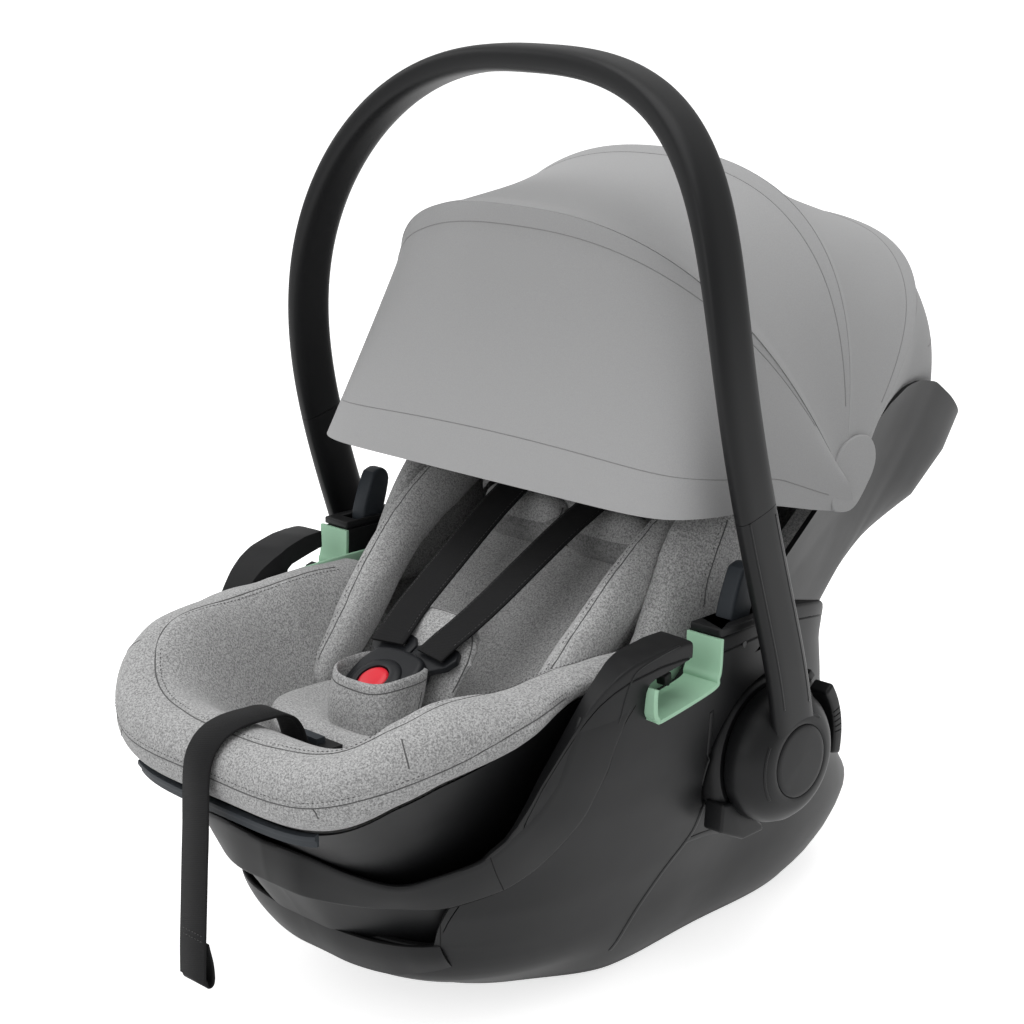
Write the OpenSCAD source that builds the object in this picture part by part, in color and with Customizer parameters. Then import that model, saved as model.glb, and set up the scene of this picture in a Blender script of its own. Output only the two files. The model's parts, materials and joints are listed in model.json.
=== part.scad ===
// Infant car seat carrier: moulded base and bucket, carry handle, belt hooks,
// folding canopy, padded cover and five-point harness.
// Millimetres, +Z up, foot end towards -Y, head end towards +Y, floor at Z = 0.

/* [Placement] */
// Height of the handle axis above the floor
hub_height = 165; // [160:1:175]
// Offset of the handle axis from the middle of the length
hub_offset = 0.5; // [-20:0.5:30]

/* [Base shell] */
// Half width of the base where it meets the floor
base_foot_half_width = 98; // [92:1:104]
// Wall thickness of the base
base_wall = 5; // [4:0.5:6]
// Wall thickness in the belt arms and towers
arm_wall = 27; // [25:1:28]
// Height of the front tray lip above the floor
lip_height = 70; // [66:1:74]

/* [Bucket] */
// Half width of the bucket at its rim
bucket_half_width = 155; // [152:1:156]
// Reach of the bucket rim in front of the handle axis
bucket_front = 327; // [320:1:332]
// Reach of the bucket rim behind the handle axis
bucket_rear = 340; // [335:1:345]
// Depth of the bucket floor below the handle axis
bucket_depth = 105; // [100:1:110]
// Wall thickness of the bucket
bucket_wall = 4; // [3:0.5:5]

/* [Handle] */
// Half width of the handle at its centreline
handle_half_width = 212; // [208:1:213]
// Height of the handle centreline above its axis
handle_rise = 458; // [450:1:466]
// Width of the handle band
handle_band = 36; // [34:1:40]
// Thickness of the handle legs
handle_leg_thick = 12; // [11:0.5:13]
// Thickness of the handle at the grip
handle_grip_thick = 19; // [15:0.5:21]

/* [Hubs] */
// Radius of the handle hub
hub_radius = 48; // [46:0.5:48.5]
// Radius of the round cap on the hub
hub_cap_radius = 25.6; // [24:0.2:27]
// Radius of the steel axle
axle_radius = 8; // [7:0.5:9]
// Travel of the release buttons
release_travel = 4; // [3:0.5:5]

/* [Canopy] */
// Half width of the canopy at its pivots
canopy_half_width = 186; // [182:1:188]
// Thickness of the canopy fabric with its lining
canopy_cloth = 3; // [2.5:0.5:3.5]
// Radius of the canopy bows
bow_radius = 3; // [2.5:0.25:3.25]

/* [Harness] */
// Width of the harness webbing
webbing_width = 32; // [30:1:34]
// Width of the adjuster strap
adjuster_width = 26; // [24:1:30]
// Thickness of the harness webbing
webbing_thick = 2; // [1.5:0.25:2]
// Radius of the red release button
button_radius = 11; // [10:0.5:12]
// Travel of the red release button
button_travel = 5; // [4:0.5:6]

/* [Hidden] */
$fn = 64;
shell_black = [0.03, 0.03, 0.035];
grip_black = [0.04, 0.04, 0.045];
tab_grey = [0.06, 0.07, 0.085];
hook_green = [0.36, 0.62, 0.41];
steel = [0.6, 0.6, 0.62];
cloth_grey = [0.3, 0.3, 0.3];
pad_grey = [0.35, 0.35, 0.35];
lining_grey = [0.2, 0.2, 0.2];
webbing_black = [0.02, 0.02, 0.02];
button_red = [0.75, 0.02, 0.06];

floor_z = -hub_height;
lip_z = lip_height - hub_height;
bucket_floor = -bucket_depth;
gap = 0.3;
running_gap = 0.05;

// Part to draw

// ---- shared shape functions ----

function signed_power(v, p) = sign(v) * pow(abs(v), p);
function blend_step(t) = let (c = min(1, max(0, t))) c * c * (3 - 2 * c);
function mix(a, b, t) = a + (b - a) * t;
function unit(v) = v / norm(v);
function mean(points) = [for (k = [0:2]) [for (p = points) p[k]] * [for (p = points) 1]] / len(points);
function mirrored(points) = [for (p = points) [-p.x, p.y, p.z]];
function swept(points, faces) = [for (f = faces) points[f[0]] * cross(points[f[1]], points[f[2]])]
    * [for (f = faces) 1];
// Faces turned so that the solid is the right way out
function outward(points, faces) = swept(points, faces) < 0 ? faces
    : [for (f = faces) [f[2], f[1], f[0]]];

// A closed solid through rings that all have the same number of points
module ring_loft(rings) {
    n = len(rings[0]);
    m = len(rings);
    points = concat([for (r = rings) each r], [mean(rings[0]), mean(rings[m - 1])]);
    sides = [for (i = [0:m - 2]) for (j = [0:n - 1])
        let (a = i * n + j, b = i * n + (j + 1) % n)
        each [[a, a + n, b + n], [a, b + n, b]]];
    ends = [for (j = [0:n - 1]) let (k = (j + 1) % n)
        each [[m * n, j, k], [m * n + 1, (m - 1) * n + k, (m - 1) * n + j]]];
    faces = concat(sides, ends);
    polyhedron(points, outward(points, faces), convexity = 8);
}

// A closed sheet between an outer and an inner grid of points
module thick_sheet(outer, inner) {
    m = len(outer);
    n = len(outer[0]);
    points = concat([for (r = outer) each r], [for (r = inner) each r]);
    skin = [for (i = [0:m - 2]) for (j = [0:n - 2])
        let (a = i * n + j, s = m * n)
        each [[a, a + n, a + n + 1], [a, a + n + 1, a + 1],
              [s + a, s + a + n + 1, s + a + n], [s + a, s + a + 1, s + a + n + 1]]];
    border = concat([for (j = [0:n - 2]) j], [for (i = [0:m - 2]) i * n + n - 1],
        [for (j = [0:n - 2]) m * n - 1 - j], [for (i = [0:m - 2]) (m - 1 - i) * n]);
    edge = [for (k = [0:len(border) - 1])
        let (a = border[k], b = border[(k + 1) % len(border)], s = m * n)
        each [[a, b, s + b], [a, s + b, s + a]]];
    faces = concat(skin, edge);
    polyhedron(points, outward(points, faces), convexity = 8);
}

// Moves a shape modelled about the handle axis to its place over the floor
module at_hub() { translate([0, hub_offset, hub_height]) children(); }
// A side-view outline made solid between two distances from the centre plane
module side_plate(outline, from, to) {
    translate([from, 0, 0]) rotate([90, 0, 90]) linear_extrude(to - from) polygon(outline);
}
// A round bar along X between two distances from the centre plane
module cross_bar(radius, from, to) {
    translate([from, 0, 0]) rotate([0, 90, 0]) cylinder(h = to - from, r = radius);
}
// The left-hand copy of a right-hand part
module left() { mirror([1, 0, 0]) children(); }

// ---- base shell ----

base_levels = [-162, -157, -146, -130, -114, -100];
base_half = [[-162, 11], [-157, 16], [-146, 24], [-130, 33], [-114, 40], [-95, 47],
    [-68, 58], [-35, 69], [-5, 78], [6, 80], [30, 86], [61, 92], [89, 97], [118, 98]];
base_reach_front = [[-162, 162], [-157, 174], [-146, 196], [-130, 213], [-114, 219],
    [-95, 222], [-68, 234], [-35, 243], [-5, 268], [6, 280], [30, 276], [61, 255], [89, 236], [118, 225]];
base_reach_rear = [[-162, 224], [-157, 232], [-146, 242], [-130, 252], [-114, 258],
    [-100, 260], [-90, 256], [-60, 224], [-17, 184], [20, 164], [60, 148], [118, 146]];
base_square = [[-162, 2.5], [-146, 2.7], [-130, 3], [-95, 3.4]];
base_middle = -30;
waist_share = 0.04;
waist_y = 25;
waist_run = 60;
front_lift = 8;
front_lift_from = -70;
front_lift_run = 80;
lift_below = 20;
lift_height = 40;
base_rim = [[-90, 0], [-60, 0], [-58, 27], [-54, 50], [-50, 68], [-45, 83], [-41, 90], [-36, 97],
    [-32, 104], [-30, 116], [-28.5, 136], [-27, 157], [-25.5, 172], [-23.5, 183], [-21, 190], [-18, 195],
    [-12, 199.5], [-7.3, 200], [-4.5, 195], [9, 195], [20, 190], [32, 184], [40, 176], [50, 154],
    [58, 112], [70, 84], [90, 76]];
base_angles = [-90, -84, -78, -72, -66, -60, -58, -54, -50, -45, -41, -36, -32, -30, -28.5, -27, -25.5,
    -23.5, -21, -18, -15, -12, -9.5, -7.3, -4.5, -2, 3, 9, 15, 20, 26, 32, 40, 50, 60, 70, 80, 90];
rim_steps = 7;
square_rear = 4;
arm_turn = 34;
arm_blend_front = 16;
arm_blend_rear = 24;
arm_depth = 92;
arm_blend_depth = 22;

function base_rim_z(u) = lip_z + lookup(u, base_rim);
function base_width(z, y) = (base_foot_half_width + lookup(z, base_half))
    * (1 - waist_share * exp(-pow((y - waist_y) / waist_run, 2)));
// The bottom rises a little towards the foot end
function base_lift(y, z) = front_lift * blend_step((front_lift_from - y) / front_lift_run)
    * blend_step((lip_z - lift_below - z) / lift_height);
function base_point(u, z, t) = let (
    front = sin(u) < 0,
    n = front ? lookup(z, base_square) : square_rear,
    reach = lookup(z, front ? base_reach_front : base_reach_rear) - t,
    y = base_middle + reach * signed_power(sin(u), 2 / n))
    [(base_width(z, y) - t) * signed_power(cos(u), 2 / n), y, z + base_lift(y, z)];
// The wall thickens to the full arm width near the rim of the belt arms
function arm_share(u) = blend_step((u + arm_turn) / arm_blend_front)
    * blend_step((arm_turn - u) / arm_blend_rear);
function wall_at(u, z) = base_wall + (arm_wall - base_wall) * arm_share(u)
    * blend_step((z - base_rim_z(u) + arm_depth) / arm_blend_depth);
function full_turn(half) = concat(half, [for (i = [len(half) - 2:-1:1]) 180 - half[i]]);
function base_ring(z_of, thick) = [for (a = full_turn(base_angles))
    let (u = a > 90 ? 180 - a : a, z = z_of(u), p = base_point(u, z, thick ? wall_at(u, z) : 0))
    a > 90 ? [-p.x, p.y, p.z] : p];
function rise_z(u, f) = mix(base_levels[len(base_levels) - 1], base_rim_z(u), f);

module base_body() {
    outer = concat(
        [for (z = base_levels) base_ring(function (u) z, false)],
        [for (i = [1:rim_steps]) base_ring(function (u) rise_z(u, i / rim_steps), false)]);
    inner = concat(
        [for (i = [rim_steps:-1:1]) base_ring(function (u) rise_z(u, i / rim_steps), true)],
        [for (k = [len(base_levels) - 1:-1:1]) base_ring(function (u) base_levels[k], true)]);
    ring_loft(concat(outer, inner));
}

slot_outline = [[-67, 140], [-67, 101], [-68, 80], [-70, 73], [-76, 66], [-125, 58], [-131, 59.5],
    [-134, 64.5], [-134.5, 78.5], [-132, 84], [-127, 86.7], [-95, 93], [-95, 140]];
// Distances from the centre plane: beyond the arm, the lever's slot, its pin
slot_span = [150, 260];
lever_slot_outline = [[-57, 78], [-14, 78], [-14, 130], [-57, 130]];
lever_slot_span = [171, 189];
lever_pin_span = [168, 192.5];
lever_axis = [-39, 88];
lever_pin_radius = 2;
hub_seat_x = 166;
hub_seat_radius = 57;
axle_bore_span = [120, 200];
// Flat floor of the open tray behind the front lip
tray_place = [-86, -220, -118];
tray_size = [172, 50, 3];
plate_top = -162;
plate_outline = [[-72, -96], [72, -96], [88, -80], [92, 0], [92, 140], [72, 160], [-72, 160], [-92, 140],
    [-92, 0], [-88, -80]];
bar_radius = 3.5;
bar_z = -161;
bar_y = 70;
bar_reach = 52;
pocket_reach = 45;
pocket_half_length = 20;
pocket_below = 10;
pocket_height = 40;

// Hollow moulded base with the belt arms, the towers and the tray at the front
module base_shell() {
    color(shell_black) at_hub() difference() {
        union() {
            base_body();
            translate(tray_place) cube(tray_size);
        }
        for (side = [0, 1]) mirror([side, 0, 0]) {
            side_plate(slot_outline, slot_span[0], slot_span[1]);
            side_plate(lever_slot_outline, lever_slot_span[0], lever_slot_span[1]);
            cross_bar(hub_seat_radius, hub_seat_x, slot_span[1]);
            cross_bar(axle_radius, axle_bore_span[0], axle_bore_span[1]);
            lever_pin();
        }
        lock_bar_pockets();
    }
}

// One pin that a lever turns on
module lever_pin() {
    translate([0, lever_axis.x, lever_axis.y])
        cross_bar(lever_pin_radius, lever_pin_span[0], lever_pin_span[1]);
}

// Hollows round the lock bars and the bores that hold their ends
module lock_bar_pockets() {
    for (y = [-bar_y, bar_y]) {
        translate([-pocket_reach, y - pocket_half_length, floor_z - pocket_below])
            cube([2 * pocket_reach, 2 * pocket_half_length, pocket_height]);
        translate([0, y, bar_z]) cross_bar(bar_radius, -bar_reach, bar_reach);
    }
}

// Flat plate under the base that it stands on
module base_plate() {
    color(shell_black) at_hub() difference() {
        translate([0, 0, floor_z]) linear_extrude(plate_top - floor_z) polygon(plate_outline);
        lock_bar_pockets();
    }
}

module lock_bar(y) {
    color(steel) at_hub() translate([0, y, bar_z]) cross_bar(bar_radius, -bar_reach, bar_reach);
}
// Steel bars in the underside that a car base grips
module lock_bar_front() { lock_bar(-bar_y); }
module lock_bar_rear() { lock_bar(bar_y); }

// ---- bucket ----

bucket_rim = [[-330, 3], [-322, 8], [-312, 15], [-295, 27], [-268, 38], [-220, 50], [-187, 63],
    [-160, 70], [-120, 70], [-60, 72], [0, 80], [30, 100], [46, 130], [66, 150], [100, 162], [160, 175],
    [190, 192], [240, 213], [268, 208], [300, 190], [340, 163]];
taper_from = 40;
taper_share = 0.24;
rim_square_front = 4.6;
rim_square_rear = 12;
keel_y = -60;
bucket_bore_span = [140, 170];
bucket_turn = [for (u = [-90:6:90]) u];
// Share of the way out from the keel, at the side, front and rear, and the share of the depth
wall_side = [1, 0.955, 0.90, 0.845, 0.78, 0.71, 0.62, 0.5, 0.3, 0.03];
wall_front = [1, 0.955, 0.90, 0.84, 0.765, 0.69, 0.61, 0.5, 0.33, 0.03];
wall_rear = [1, 0.97, 0.89, 0.66, 0.38, 0.26, 0.20, 0.15, 0.1, 0.01];
wall_depth = [0, 0.1, 0.22, 0.36, 0.52, 0.68, 0.83, 0.94, 0.99, 1];

function rim_x(y) = bucket_half_width
    * (1 - taper_share * pow(max(0, y - taper_from) / (bucket_rear - taper_from), 1.2));
function rim_point(u) = let (
    front = sin(u) < 0,
    n = front ? rim_square_front : rim_square_rear,
    y = (front ? bucket_front : bucket_rear) * signed_power(sin(u), 2 / n))
    [rim_x(y) * signed_power(cos(u), 2 / n), y, lookup(y, bucket_rim)];
// A point on the bowl: u round the rim, step k down the wall, t inwards from the outside
function bowl_point(u, k, t) = let (
    r = rim_point(u),
    keep = sin(u) < 0 ? mix(wall_side[k], wall_front[k], pow(sin(u), 2))
        : mix(wall_side[k], wall_rear[k], pow(sin(u), 1.3)),
    slim = 1 - t / norm([r.x, r.y - keel_y]))
    [r.x * slim * keep, keel_y + (r.y - keel_y) * slim * keep,
     r.z - (r.z - bucket_floor - t) * wall_depth[k]];
function bowl_ring(k, t) = let (half = [for (u = bucket_turn) bowl_point(u, k, t)])
    concat(half, [for (i = [len(half) - 2:-1:1]) [-half[i].x, half[i].y, half[i].z]]);

module bowl(outer, inner) {
    last = len(wall_depth) - 1;
    ring_loft(concat([for (k = [last:-1:0]) bowl_ring(k, outer)], [for (k = [0:last]) bowl_ring(k, inner)]));
}

// Moulded bucket that carries the padding
module seat_bucket() {
    color(shell_black) at_hub() difference() {
        bowl(0, bucket_wall);
        for (side = [0, 1]) mirror([side, 0, 0])
            cross_bar(axle_radius + 6, bucket_bore_span[0], bucket_bore_span[1]);
    }
}

// Section of the carrying lip: distance out from the rim and height over it
lip_section = [[7, -1], [7, 3], [gap, 3], [gap, -8], [3, -8]];
// Grey-blue carrying lip under the front rim
module grip_trim() {
    edge = function (u, q) let (p = bowl_point(u, 0, -q.x)) [p.x, p.y, p.z + q.y];
    right = [for (u = [-90:5:-45]) [for (q = lip_section) edge(u, q)]];
    color(tab_grey) at_hub()
        ring_loft(concat([for (i = [len(right) - 1:-1:1]) mirrored(right[i])], right));
}

// ---- belt hooks and towers ----

hook_outline = [[-67.1, 99.5], [-68, 80], [-70, 73], [-76, 66], [-125, 58], [-131, 59.5], [-134, 64.5],
    [-134.5, 78.5], [-132, 84], [-127, 86.7], [-96, 92.8], [-96, 90.3], [-126.4, 84.3], [-129.9, 82.4],
    [-132, 78], [-131.6, 65.5], [-129.8, 62], [-125, 60.6], [-77.4, 68.4], [-72.2, 74.2],
    [-70.4, 80.5], [-69.4, 99.5]];
hook_inner_x = 168;
hook_outer_x = 196.5;

// Coloured liner of the lap belt slot
module belt_hook_right() {
    color(hook_green) at_hub() side_plate(hook_outline, hook_inner_x, hook_outer_x);
}
module belt_hook_left() { left() belt_hook_right(); }

cap_base_z = 100.2;
cap_top_z = 106;
cap_bevel = [3, 2];
cap_reach = [-68, -12];
cap_span = [169, 195];
cap_slot_outline = [[-56, 90], [-15, 90], [-15, 130], [-56, 130]];
cap_slot_span = [172, 188];
lever_span = [173, 187];

// Black plate on top of the belt tower, open for the lever
module tower_cap_right() {
    color(shell_black) at_hub() difference() {
        side_plate([[cap_reach[0], cap_base_z], [cap_reach[1], cap_base_z],
            [cap_reach[1], cap_top_z - cap_bevel.y], [cap_reach[1] - cap_bevel.x, cap_top_z],
            [cap_reach[0] + cap_bevel.x, cap_top_z], [cap_reach[0], cap_top_z - cap_bevel.y]],
            cap_span[0], cap_span[1]);
        side_plate(cap_slot_outline, cap_slot_span[0], cap_slot_span[1]);
    }
}
module tower_cap_left() { left() tower_cap_right(); }

lever_outline = [[-44, 84], [-35, 83], [-27, 104], [-20, 128], [-21, 136], [-26, 140], [-33, 139],
    [-38, 134], [-48, 106]];

// Sprung grey lever that stands out of the tower
module lever_right() {
    color(tab_grey) at_hub() difference() {
        side_plate(lever_outline, lever_span[0], lever_span[1]);
        translate([0, lever_axis.x, lever_axis.y])
            cross_bar(lever_pin_radius + running_gap, lever_span[0] - 8, lever_span[1] + 8);
    }
}
module lever_left() { left() lever_right(); }

// Pins that the levers turn on
module lever_pins() {
    color(steel) for (side = [0, 1]) mirror([side, 0, 0]) at_hub() lever_pin();
}

// ---- hubs and handle ----

hub_base_outer_x = 184;
hub_base_step = 3;
hub_foot_outline = [[-50, -24], [-34, -24], [-22, -40], [-21, -53], [-27, -56], [-49, -46]];
hub_foot_span = [176, 183];
ear_radius = 65.5;
ear_inner = 40;
ear_x = 179;
ear_floor = 0.8;
ear_from = -14;
ear_to = 38;
button_inner = 50;
button_outer = 64;
button_face = 200;
axle_span = [157, 206];

function sector(inner, outer, from, to) = concat(
    [for (a = [from:(to - from) / 10:to]) [outer * cos(a), outer * sin(a)]],
    [for (a = [to:(from - to) / 10:from]) [inner * cos(a), inner * sin(a)]]);

// Fixed round base of the hub with its foot and the button housing
module hub_base_right() {
    color(shell_black) at_hub() difference() {
        union() {
            cross_bar(hub_radius + 5, hub_seat_x, hub_base_outer_x - hub_base_step);
            cross_bar(hub_radius + 3, hub_seat_x, hub_base_outer_x);
            side_plate(sector(ear_inner, ear_radius, ear_from - 8, ear_to + 6), ear_x, hub_base_outer_x);
            side_plate(hub_foot_outline, hub_foot_span[0], hub_foot_span[1]);
        }
        cross_bar(axle_radius, axle_bore_span[0], axle_bore_span[1]);
        side_plate(sector(button_inner - gap, ear_radius + 5, ear_from - 0.4, ear_to + 0.4),
            ear_x + ear_floor, button_face);
    }
}
module hub_base_left() { left() hub_base_right(); }

// Steel axle that joins the base and the handle
module axle_right() {
    color(steel) at_hub() cross_bar(axle_radius, axle_span[0], axle_span[1]);
}
module axle_left() { left() axle_right(); }

root_inset = 6;
handle_side_power = 2.6;
handle_top_power = 4.5;
joint_place = 0.33;
leg_from = 0.032;
band_sides = 20;
band_square = 0.62;
root_band = 5;
along_step = 0.004;

// Centreline of the handle: 0 at the right-hand axle, 1 at the top, 2 at the left-hand axle
function handle_lean(s) = -(36 * s + 49.5 * sin(180 * pow(s, 1.3)));
function handle_at(t) = let (
    turn = 90 * pow(min(t, 2 - t), handle_top_power / 2),
    s = pow(sin(turn), 2 / handle_top_power),
    inset = root_inset * pow(max(0, 1 - s / 0.22), 2))
    [(handle_half_width - inset) * pow(cos(turn), 2 / handle_side_power) * (t > 1 ? -1 : 1),
     handle_lean(s), handle_rise * s];
function handle_along(t) = unit(handle_at(t + along_step) - handle_at(t - along_step));
function handle_ring(t) = let (
    p = handle_at(t),
    out = unit(cross(handle_along(t), [0, -1, 0])),
    wide = cross(out, handle_along(t)),
    grip = blend_step((p.z / handle_rise - 0.55) / 0.45),
    thick = mix(handle_leg_thick, handle_grip_thick, grip),
    band = handle_band + root_band * pow(max(0, 1 - p.z / 90), 2) - grip)
    [for (k = [0:band_sides - 1]) let (u = 360 * k / band_sides)
        p + out * thick / 2 * signed_power(cos(u), band_square)
            + wide * band / 2 * signed_power(sin(u), band_square)];
function handle_step(from, to, n) = [for (i = [0:n]) handle_ring(mix(from, to, i / n))];

// Carrying arch of the handle
module handle_grip() {
    color(grip_black) at_hub() ring_loft(handle_step(joint_place, 2 - joint_place, 44));
}

cap_seat_x = 207;
hub_profile = [[axle_radius + running_gap, 184.3], [hub_radius - 1, 184.3], [hub_radius, 185.5],
    [hub_radius, 192], [hub_radius - 2, 199], [hub_radius - 6, 205.5], [hub_radius - 11, 210],
    [hub_radius - 16, 212.2], [hub_cap_radius + 0.2, 212.6],
    [hub_cap_radius + 0.2, cap_seat_x], [axle_radius + running_gap, cap_seat_x]];

// Lower leg of the handle with its round hub
module handle_leg_right() {
    color(grip_black) at_hub() union() {
        rotate([90, 0, 90]) rotate_extrude() polygon(hub_profile);
        difference() {
            ring_loft(handle_step(leg_from, joint_place, 12));
            cross_bar(hub_cap_radius + 6, 180, 230);
        }
    }
}
module handle_leg_left() { left() handle_leg_right(); }

// Round cap over the axle
module hub_cap_right() {
    color(grip_black) at_hub() union() {
        cross_bar(hub_cap_radius, cap_seat_x, 212.6);
        cross_bar(hub_cap_radius - 1, cap_seat_x, 213.4);
    }
}
module hub_cap_left() { left() hub_cap_right(); }

// Sprung button behind the hub that frees the handle
module release_button_right() {
    color(shell_black) at_hub()
        side_plate(sector(button_inner, button_outer, ear_from, ear_to),
            ear_x + ear_floor + release_travel + 0.4, button_face);
}
module release_button_left() { left() release_button_right(); }

// ---- canopy ----

pivot = [73, 178];
mid_lean = -5.3;
front_lean = 36.3;
rear_lean = -46.3;
mid_arch = [209, 2.44, 0.12];
front_arch = [217, 2.57, 0.04];
rear_arch = [221, 2.85, 0.03];
seam_gap = 0.25;
cloth_sag = 16;
arch_angles = [2, 6, for (a = [13:7:167]) a, 174, 178];

// A point on a bow: lean of its plane, its [height, squareness, belly], angle round it, inset
function arch_point(lean, shape, a, inset) = let (
    c = cos(a), s = sin(a),
    r = (shape[0] - inset) * pow(s, 2 / shape[1]),
    x = (canopy_half_width - inset) * signed_power(c, 2 / shape[1])
        * (1 + shape[2] * s * s * abs(c)))
    [x, pivot.x - r * sin(lean), pivot.y + r * cos(lean)];
function arch_between(lean_a, a_shape, lean_b, b_shape, t, a, inset) = arch_point(
    mix(lean_a, lean_b, t), a_shape * (1 - t) + b_shape * t, a,
    inset + cloth_sag * sin(180 * t) * sin(a));
function panel_grid(lean_a, a_shape, lean_b, b_shape, steps, inset) = [for (i = [0:steps])
    [for (a = arch_angles) arch_between(lean_a, a_shape, lean_b, b_shape, i / steps, a, inset)]];

module canopy_panel(lean_a, a_shape, lean_b, b_shape, steps) {
    color(cloth_grey) at_hub() thick_sheet(
        panel_grid(lean_a, a_shape, lean_b, b_shape, steps, 0),
        panel_grid(lean_a, a_shape, lean_b, b_shape, steps, canopy_cloth));
}
// Fabric between the rear seam and the middle bow
module canopy_panel_rear() {
    canopy_panel(rear_lean, rear_arch, mid_lean - seam_gap, mid_arch, 4);
}
// Fabric between the middle and the front bow
module canopy_panel_front() {
    canopy_panel(mid_lean, mid_arch, front_lean - seam_gap, front_arch, 4);
}

// Hem of the visor: along the sides and across the front, nearly level
hem_square = 9;
hem_middle = 92;
hem_reach = 190;
hem_half_width = 185;
visor_rows = 6;
hem_levels = [[-100, 178], [-77, 178], [-1, 174], [40, 163], [66, 157], [92, 156]];
function visor_hem(a, inset) = let (
    c = cos(a), s = sin(a),
    r = pow(pow(abs(c), hem_square) + pow(s, hem_square), -1 / hem_square),
    y = hem_middle - (hem_reach - inset) * r * s)
    [(hem_half_width - inset) * r * c, y, lookup(y, hem_levels)];
function visor_point(a, t, inset) = let (
    top = arch_point(front_lean, front_arch, a, inset),
    hem = visor_hem(a, inset),
    wave = sin(180 * t),
    pull = 15 * wave * pow(sin(a), 4))
    top * (1 - t) + hem * t + [5 * wave * cos(a), pull, -pull * 0.4];
// Front part of the canopy from the front bow down to its hem
module canopy_visor() {
    grid = function (inset) [for (i = [0:visor_rows]) [for (a = arch_angles)
        visor_point(a, i / visor_rows, inset)]];
    color(cloth_grey) at_hub() thick_sheet(grid(0), grid(canopy_cloth));
}

// Hem of the tail: along the rim of the bucket and round the head end
tail_square = 7;
tail_middle = 86;
tail_reach = 230;
tail_rows = 6;
tail_levels = [[86, 156], [101, 162], [140, 174], [160, 178], [190, 195], [240, 217], [268, 216],
    [316, 205]];
function tail_hem(a, inset) = let (
    c = cos(a), s = sin(a),
    r = pow(pow(abs(c), tail_square) + pow(s, tail_square), -1 / tail_square),
    y = tail_middle + (tail_reach - inset) * r * s,
    half = rim_x(y) + 5 + 25 * blend_step((150 - y) / 64) - inset)
    [half * r * c, y, lookup(y, tail_levels)];
function tail_point(a, t, inset) = let (
    top = arch_point(rear_lean, rear_arch, a, inset),
    hem = tail_hem(a, inset),
    swell = 18 * sin(180 * t) * sin(a))
    top * (1 - t) + hem * t + [0, swell, swell * 0.3];
// Rear part of the canopy down to the rim of the bucket
module canopy_tail() {
    grid = function (inset) [for (i = [0:tail_rows]) [for (a = arch_angles)
        tail_point(a, i / tail_rows, inset)]];
    color(cloth_grey) at_hub() thick_sheet(grid(0), grid(canopy_cloth));
}

bow_inset = canopy_cloth + bow_radius + 2.5;
bow_angles = [for (a = [12:6:168]) a];
pivot_radius = 4;
eye_radius = 9;
foot_width = 8;
foot_length = 70;

module bow(lean, shape) {
    centre = [for (a = bow_angles) arch_point(lean, shape, a, bow_inset)];
    last = len(centre) - 1;
    at_hub() ring_loft([for (i = [0:last]) let (
        along = unit(centre[min(i + 1, last)] - centre[max(i - 1, 0)]),
        across = unit(cross(along, [0, cos(lean), sin(lean)])),
        deep = cross(along, across))
        [for (k = [0:7]) centre[i] + bow_radius * (across * cos(45 * k) + deep * sin(45 * k))]]);
}
// Flat foot of a bow with the eye that turns on the pivot pin
module bow_foot(lean, span) {
    at_hub() difference() {
        translate([0, pivot.x, pivot.y]) rotate([lean, 0, 0]) union() {
            cross_bar(eye_radius, span[0], span[1]);
            translate([span[0], -foot_width / 2, 0]) cube([span[1] - span[0], foot_width, foot_length]);
        }
        translate([0, pivot.x, pivot.y]) cross_bar(pivot_radius + running_gap, 150, 200);
    }
}

mid_foot = [171.5, 174.5];
front_foot = [175, 178];

// Middle bow of the canopy
module bow_mid() {
    color(shell_black) union() {
        bow(mid_lean, mid_arch);
        bow_foot(mid_lean, mid_foot);
        left() bow_foot(mid_lean, mid_foot);
    }
}
// Front bow of the canopy
module bow_front() {
    color(shell_black) union() {
        bow(front_lean, front_arch);
        bow_foot(front_lean, front_foot);
        left() bow_foot(front_lean, front_foot);
    }
}

pin_from = 166;
pin_to = 180;
upright_outline = [[56, 118], [90, 118], [84, 184], [78, 189], [68, 189], [62, 184]];
upright_span = [166, 171];
bracket_foot_outline = [[56, 118], [90, 118], [89, 142], [58, 142]];
bracket_foot_span = [152, 166];

// Bracket on the bucket that carries the canopy's pivot pin
module canopy_bracket_right() {
    color(shell_black) at_hub() difference() {
        union() {
            side_plate(upright_outline, upright_span[0], upright_span[1]);
            side_plate(bracket_foot_outline, bracket_foot_span[0], bracket_foot_span[1]);
        }
        translate([0, pivot.x, pivot.y]) cross_bar(pivot_radius, pin_from, pin_to);
    }
}
module canopy_bracket_left() { left() canopy_bracket_right(); }
// Pins that the bows of the canopy turn on
module canopy_pins() {
    color(steel) for (side = [0, 1]) mirror([side, 0, 0])
        at_hub() translate([0, pivot.x, pivot.y]) cross_bar(pivot_radius, pin_from, pin_to);
}

// ---- padding ----

liner_thick = 12;
liner_floor = -25;
// Share of the depth of the lined hollow at each step, in front and behind
liner_front = [0, 0.1, 0.22, 0.36, 0.52, 0.68, 0.83, 0.94, 0.99, 1];
liner_rear = [0, -0.05, -0.1, -0.08, 0, 0.18, 0.34, 0.5, 0.66, 1];
function liner_point(u, k) = let (
    p = bowl_point(u, k, bucket_wall + liner_thick),
    top = rim_point(u).z,
    share = mix(liner_front[k], sin(u) < 0 ? liner_front[k] : liner_rear[k], pow(sin(u), 2)))
    [p.x, p.y, top - (top - liner_floor) * share];
function liner_ring(k) = let (half = [for (u = bucket_turn) liner_point(u, k)])
    concat(half, [for (i = [len(half) - 2:-1:1]) [-half[i].x, half[i].y, half[i].z]]);

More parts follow.
